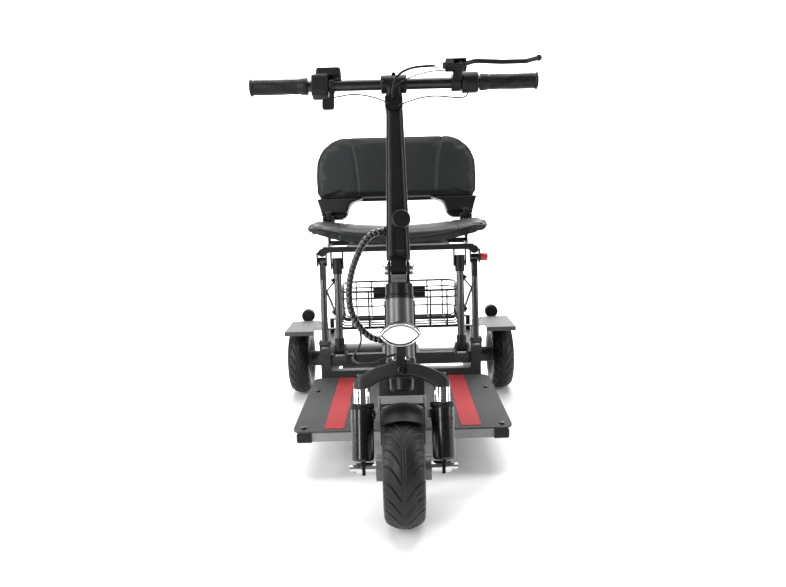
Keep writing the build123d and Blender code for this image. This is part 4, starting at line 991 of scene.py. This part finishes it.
# %% A turned part
def turned(name, profile, start, direction, steps, finish):
    """A profile of (along, out) points turned about an axis that starts at a place."""
    bpy.ops.object.select_all(action="DESELECT")
    axis = Vector(direction).normalized()
    out = axis.orthogonal().normalized()
    start = Vector(start)
    mesh = bpy.data.meshes.new(name)
    line = [start + axis * a + out * r for a, r in profile]
    mesh.from_pydata([tuple(p) for p in line], [(n, n + 1) for n in range(len(line) - 1)], [])
    mesh.materials.append(finish)
    piece = bpy.data.objects.new(name, mesh)
    bpy.context.scene.collection.objects.link(piece)
    bpy.context.view_layer.objects.active = piece
    piece.select_set(True)
    bpy.ops.object.mode_set(mode="EDIT")
    bpy.ops.mesh.select_all(action="SELECT")
    bpy.ops.mesh.spin(steps=steps, angle=2 * math.pi, center=start, axis=axis)
    bpy.ops.mesh.select_all(action="SELECT")
    bpy.ops.mesh.remove_doubles(threshold=0.00001)
    bpy.ops.mesh.normals_make_consistent(inside=False)
    bpy.ops.object.mode_set(mode="OBJECT")
    return smooth(piece, 35)


def smooth(piece, angle):
    bpy.ops.object.select_all(action="DESELECT")
    bpy.context.view_layer.objects.active = piece
    piece.select_set(True)
    bpy.ops.object.shade_smooth_by_angle(angle=math.radians(angle))
    return piece


smooth(basket, 40)
smooth(basket_carriers, 30)

# %% Grips with finger ribs
across = Vector((1, 0, 0))
for side in (-1, 1):
    inner, outer, radius = 0.175, 0.293, 0.0151
    profile = [(outer, 0.0), (outer, 0.0145), (outer - 0.001, 0.0172), (outer - 0.0035, 0.0176),
               (outer - 0.0045, 0.0160), (outer - 0.006, radius)]
    place = outer - 0.012
    while place > inner + 0.022:
        crest = radius + 0.0011
        profile += [(place + 0.0013, radius), (place + 0.0007, crest), (place - 0.0007, crest),
                    (place - 0.0013, radius)]
        place -= 0.0052
    profile += [(inner + 0.018, radius), (inner + 0.014, 0.0166), (inner + 0.003, 0.0172), (inner, 0.0165),
                (inner, 0.0112)]
    word = "right" if side > 0 else "left"
    grip = turned(f"grip_{word}", profile, steered(0, 0, BAR_AT), across * side, 48, grip_rubber)
    for vertex in grip.data.vertices:
        local = LEAN.inverted() @ vertex.co
        out = Vector((0, local.y, local.z - BAR_AT))
        along = abs(local.x)
        if inner + 0.020 < along < outer - 0.008 and out.length > radius + 0.0004:
            wave = math.cos(math.atan2(out.z, out.y) * 3 + along * 90)
            if wave < -0.2:
                local -= out.normalized() * 0.0011
                vertex.co = LEAN @ local
    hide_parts("grips")
    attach(grip, "stem_body")
print("grips turned")


# %% A cap screw with a socket
def select_faces(piece, wanted):
    """Goes into edit mode on a piece with only the faces that wanted picks selected."""
    bpy.context.view_layer.objects.active = piece
    bpy.ops.object.mode_set(mode="EDIT")
    bpy.ops.mesh.select_mode(type="FACE")
    bpy.ops.mesh.select_all(action="DESELECT")
    bpy.ops.object.mode_set(mode="OBJECT")
    for face in piece.data.polygons:
        face.select = wanted(face)
    bpy.ops.object.mode_set(mode="EDIT")


def cap_screw(name, place, direction, radius, height, finish):
    """A round head with a softened rim and a sunk socket, standing on a face."""
    bpy.ops.object.select_all(action="DESELECT")
    bpy.ops.mesh.primitive_cylinder_add(vertices=24, radius=radius, depth=height, location=(0, 0, height / 2))
    piece = bpy.context.object
    piece.name = piece.data.name = name
    bpy.ops.object.transform_apply(location=True, rotation=True, scale=True)
    select_faces(piece, lambda face: face.normal.z > 0.9)
    bpy.ops.mesh.bevel(offset=radius * 0.16, segments=2)
    bpy.ops.object.mode_set(mode="OBJECT")
    select_faces(piece, lambda face: face.normal.z > 0.99 and face.area > radius * radius)
    bpy.ops.mesh.inset(thickness=radius * 0.36)
    bpy.ops.mesh.extrude_region_move(TRANSFORM_OT_translate={"value": (0, 0, -height * 0.55)})
    bpy.ops.object.mode_set(mode="OBJECT")
    aim = Vector(direction).normalized().to_track_quat("Z", "Y").to_matrix().to_4x4()
    piece.data.transform(Matrix.Translation(place) @ aim)
    piece.data.materials.append(finish)
    return piece


up_axis = LEAN.to_3x3() @ Vector((0, 0, 1))
forward = LEAN.to_3x3() @ Vector((0, -1, 0))
screws = {"stem_body": [], "fork": [], "frame": [], "seat": [], "fork_slider": []}
screws["stem_body"].append((steered(0, -0.010, BAR_AT + 0.0165), up_axis, 0.0045, 0.003))
for x in (-0.019, 0.019):
    screws["stem_body"].append((steered(x, -0.0180, BAR_AT), forward, 0.0042, 0.004))
screws["fork"].append((steered(0, -0.058, 0.176), forward, 0.0068, 0.0055))
for x in (-0.0115, 0.0115):
    screws["fork"].append((steered(x, -0.0550, 0.197), forward, 0.0040, 0.0035))
for side in (-1, 1):
    screws["fork"].append((steered(side * 0.0745, -FORK_OFFSET, 0.1665), up_axis, 0.0085, 0.0035))
    screws["fork_slider"].append((steered(side * 0.0525, -0.040, 0.0955), forward, 0.0035, 0.003))
    for y in (-0.208, 0.0494):
        screws["frame"].append((Vector((side * 0.2105, y, 0.1121)), Vector((0, 0, 1)), 0.0052, 0.0026))
    for y in (0.30, 0.36):
        screws["frame"].append((Vector((side * 0.2168, y, 0.165)), Vector((side, 0, 0)), 0.006, 0.004))
total = 0
for body, places in screws.items():
    for place, direction, radius, height in places:
        finish = chrome if radius == 0.0040 else gloss_black
        screw = cap_screw(f"{body}_screw_{total}", place, direction, radius, height, finish)
        smooth(screw, 35)
        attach(screw, body)
        total += 1
print("screws:", total)

# %% [markdown]
# ## Castings and mouldings
# A cast crown or a moulded housing has no sharp edges. Each of these solids is copied, covered with an even
# mesh and relaxed a few times, which rounds every edge at once and leaves the flats flat.

# %% Rounded copies of solids
def softened(node, body, voxel, rounds, finish, added=()):
    """A rounded copy of a solid, with any added shapes fused into it."""
    piece = bpy.data.objects.new(f"{node}_moulded", nodes[node].data.copy())
    bpy.context.scene.collection.objects.link(piece)
    tidy_normals(piece)
    bpy.ops.object.select_all(action="DESELECT")
    for part in (piece, *added):
        part.select_set(True)
    bpy.context.view_layer.objects.active = piece
    if added:
        bpy.ops.object.join()
    even = piece.modifiers.new("even", "REMESH")
    even.mode = "VOXEL"
    even.voxel_size = voxel
    relax = piece.modifiers.new("relax", "SMOOTH")
    relax.factor = 0.5
    relax.iterations = rounds
    for name in ("even", "relax"):
        bpy.ops.object.modifier_apply(modifier=name)
    piece.data.materials.clear()
    piece.data.materials.append(finish)
    piece.data.shade_smooth()
    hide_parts(node)
    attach(piece, body)
    print(node, "faces:", len(piece.data.polygons))


def eased(points, rounds):
    """An open line with its corners cut again and again until it reads as a curve."""
    line = [Vector(point) for point in points]
    for _ in range(rounds):
        finer = [line[0]]
        for start, end in zip(line, line[1:]):
            finer += [start.lerp(end, 0.25), start.lerp(end, 0.75)]
        line = finer + [line[-1]]
    return line


# %% The backrest's arms, which curve in to the shell
ARM_INNER = [(0.096, 0.0617), (0.120, 0.056), (0.136, 0.046), (0.143, 0.030), (0.148, 0.010), (0.165, 0.001)]
ARM_OUTER = [(0.214, 0.001), (0.222, 0.008), (0.228, 0.036), (0.234, 0.0617)]
arms = []
for side in (-1, 1):
    outline = eased(ARM_INNER, 3) + eased(ARM_OUTER, 3)
    front = [BACK @ Vector((side * x, 0.017, height)) for x, height in outline]
    behind = [BACK @ Vector((side * x, 0.048, height)) for x, height in outline]
    count = len(outline)
    faces = [tuple(range(count)), tuple(range(2 * count - 1, count - 1, -1))]
    faces += [(n, n + count, (n + 1) % count + count, (n + 1) % count) for n in range(count)]
    arm = new_mesh_piece("arm", front + behind, faces, black_plastic)
    tidy_normals(arm)
    arms.append(arm)
softened("backrest_shell", "backrest", 0.0020, 10, black_plastic, arms)
softened("throttle_housing", "stem_body", 0.0013, 26, black_plastic)
softened("throttle_lever", "throttle", 0.0010, 12, black_plastic)
softened("brake_perch", "stem_body", 0.0010, 10, satin_black)
softened("fork_crown", "fork", 0.0015, 34, crown_grey)
softened("fold_clevis", "fork", 0.0012, 8, satin_black)
softened("hinge_blocks", "seat", 0.0012, 6, satin_black)

# %% The mudguard: a sheet with a crowned section, carried round the axle
GUARD_R, GUARD_HALF, GUARD_CROWN, GUARD_SHEET = 0.117, 0.0385, 0.010, 0.002
steps_across = [GUARD_HALF * n / 12 for n in range(-12, 13)]
outer_line = [(GUARD_R - GUARD_CROWN * (x / GUARD_HALF) ** 2, x) for x in steps_across]
lip = [(GUARD_R - GUARD_CROWN - 0.006, GUARD_HALF), (GUARD_R - GUARD_CROWN - 0.006, GUARD_HALF - GUARD_SHEET)]
inner_line = [(r - GUARD_SHEET, x * 0.948) for r, x in reversed(outer_line)]
section = outer_line + lip + inner_line + [(lip[1][0], -lip[1][1]), (lip[0][0], -GUARD_HALF)]
hub = steered(0, -FORK_OFFSET, 0)
angles = [math.radians(-64 + 106 * n / 48) for n in range(49)]
outs = [LEAN.to_3x3() @ Vector((0, -math.sin(a), math.cos(a))) for a in angles]
skin = swept([hub] * len(outs), outs, [Vector((1, 0, 0))] * len(outs), section)
guard = new_mesh_piece("crowned_guard", *skin, satin_black)
tidy_normals(guard)
smooth(guard, 50)
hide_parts("front_mudguard")
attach(guard, "fork_slider")
panel = plate("guard_panel", (-0.0395, -0.0395, 0.1145), (0.0395, -0.0385, 0.1262), 0.0003, light_grey)
panel.data.transform(LEAN)
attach(panel, "fork_slider")

# %% Collars on the fork's legs and the brake cable's adjuster
for side in (-1, 1):
    word = "right" if side > 0 else "left"
    leg = steered(side * 0.0745, -FORK_OFFSET, 0)
    rolled = [(0.1062, 0.0190), (0.1062, 0.0224), (0.1072, 0.0229), (0.1142, 0.0229), (0.1165, 0.0212),
              (0.1165, 0.0175)]
    flat = [(0.0865, 0.0205), (0.0865, 0.0214), (0.0878, 0.0214), (0.0878, 0.0205)]
    collar = turned(f"leg_collar_{word}", rolled, leg, up_axis, 48, satin_black)
    band = turned(f"leg_band_{word}", flat, leg, up_axis, 48, satin_black)
    for piece in (collar, band):
        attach(piece, "fork_slider")
LEVER_PIVOT = Vector((0.132, -0.050, BAR_AT + 0.012))
knurl = [(0.0, 0.0), (0.0, 0.0062)]
for n in range(5):
    knurl += [(0.0012 + 0.0022 * n, 0.0066), (0.0020 + 0.0022 * n, 0.0060)]
knurl += [(0.0125, 0.0052), (0.0160, 0.0046), (0.0166, 0.0)]
adjuster_face = LEAN @ (LEVER_PIVOT + Vector((-0.0350, 0, 0)))
adjuster = turned("barrel_adjuster", knurl, adjuster_face, (-1, 0, 0), 32, chrome)
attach(adjuster, "stem_body")

# %% [markdown]
# ## The lamp
# The headlight has a bright rim, a polished bowl and a faceted clear lens; bowl and lens carry a faint painted
# glow. The rim is a bead that follows the lens's pointed outline, two arcs that meet at the sides.

# %% Rim of the headlight
LAMP_Y, LAMP_Z = -0.384, 0.348


def eye_line(width, height, y, count):
    """Points round the lamp's pointed outline."""
    upper = arc_through((-width / 2, 0.0), (0.0, height / 2), (width / 2, 0.0), count)
    lower = arc_through((width / 2, 0.0), (0.0, -height / 2), (-width / 2, 0.0), count)
    return [Vector((x, y, LAMP_Z + z)) for x, z in upper + lower]


rim = tube_on("headlight_rim", eye_line(0.0735, 0.0395, LAMP_Y + 0.001, 36), 0.0016, chrome)
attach(rim, "fork")
bowl_line = [(0.0, 0.013), (0.001, 0.0140), (0.0016, 0.0130), (0.0010, 0.0095), (0.0016, 0.0060),
             (0.0026, 0.0040), (0.0030, 0.0)]
# The bowl takes the lens's finish, with its faint painted glow.
painted_glow_bowl = turned("headlight_bowl", bowl_line, (0, LAMP_Y + 0.0026, LAMP_Z), (0, -1, 0), 40, lens_clear)
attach(painted_glow_bowl, "fork")

# %% Tail lamps' red lenses
for side in (-1, 1):
    profile = [(0.0, 0.0185), (0.0025, 0.0180), (0.0040, 0.0160), (0.0046, 0.0120), (0.0040, 0.0110),
               (0.0048, 0.0080), (0.0052, 0.0040), (0.0054, 0.0)]
    word = "right" if side > 0 else "left"
    lens = turned(f"tail_lens_{word}", profile, (side * 0.2835, 0.4715, 0.226), (0, 1, 0), 40, lens_red)
    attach(lens, "frame")
print("lamps done")
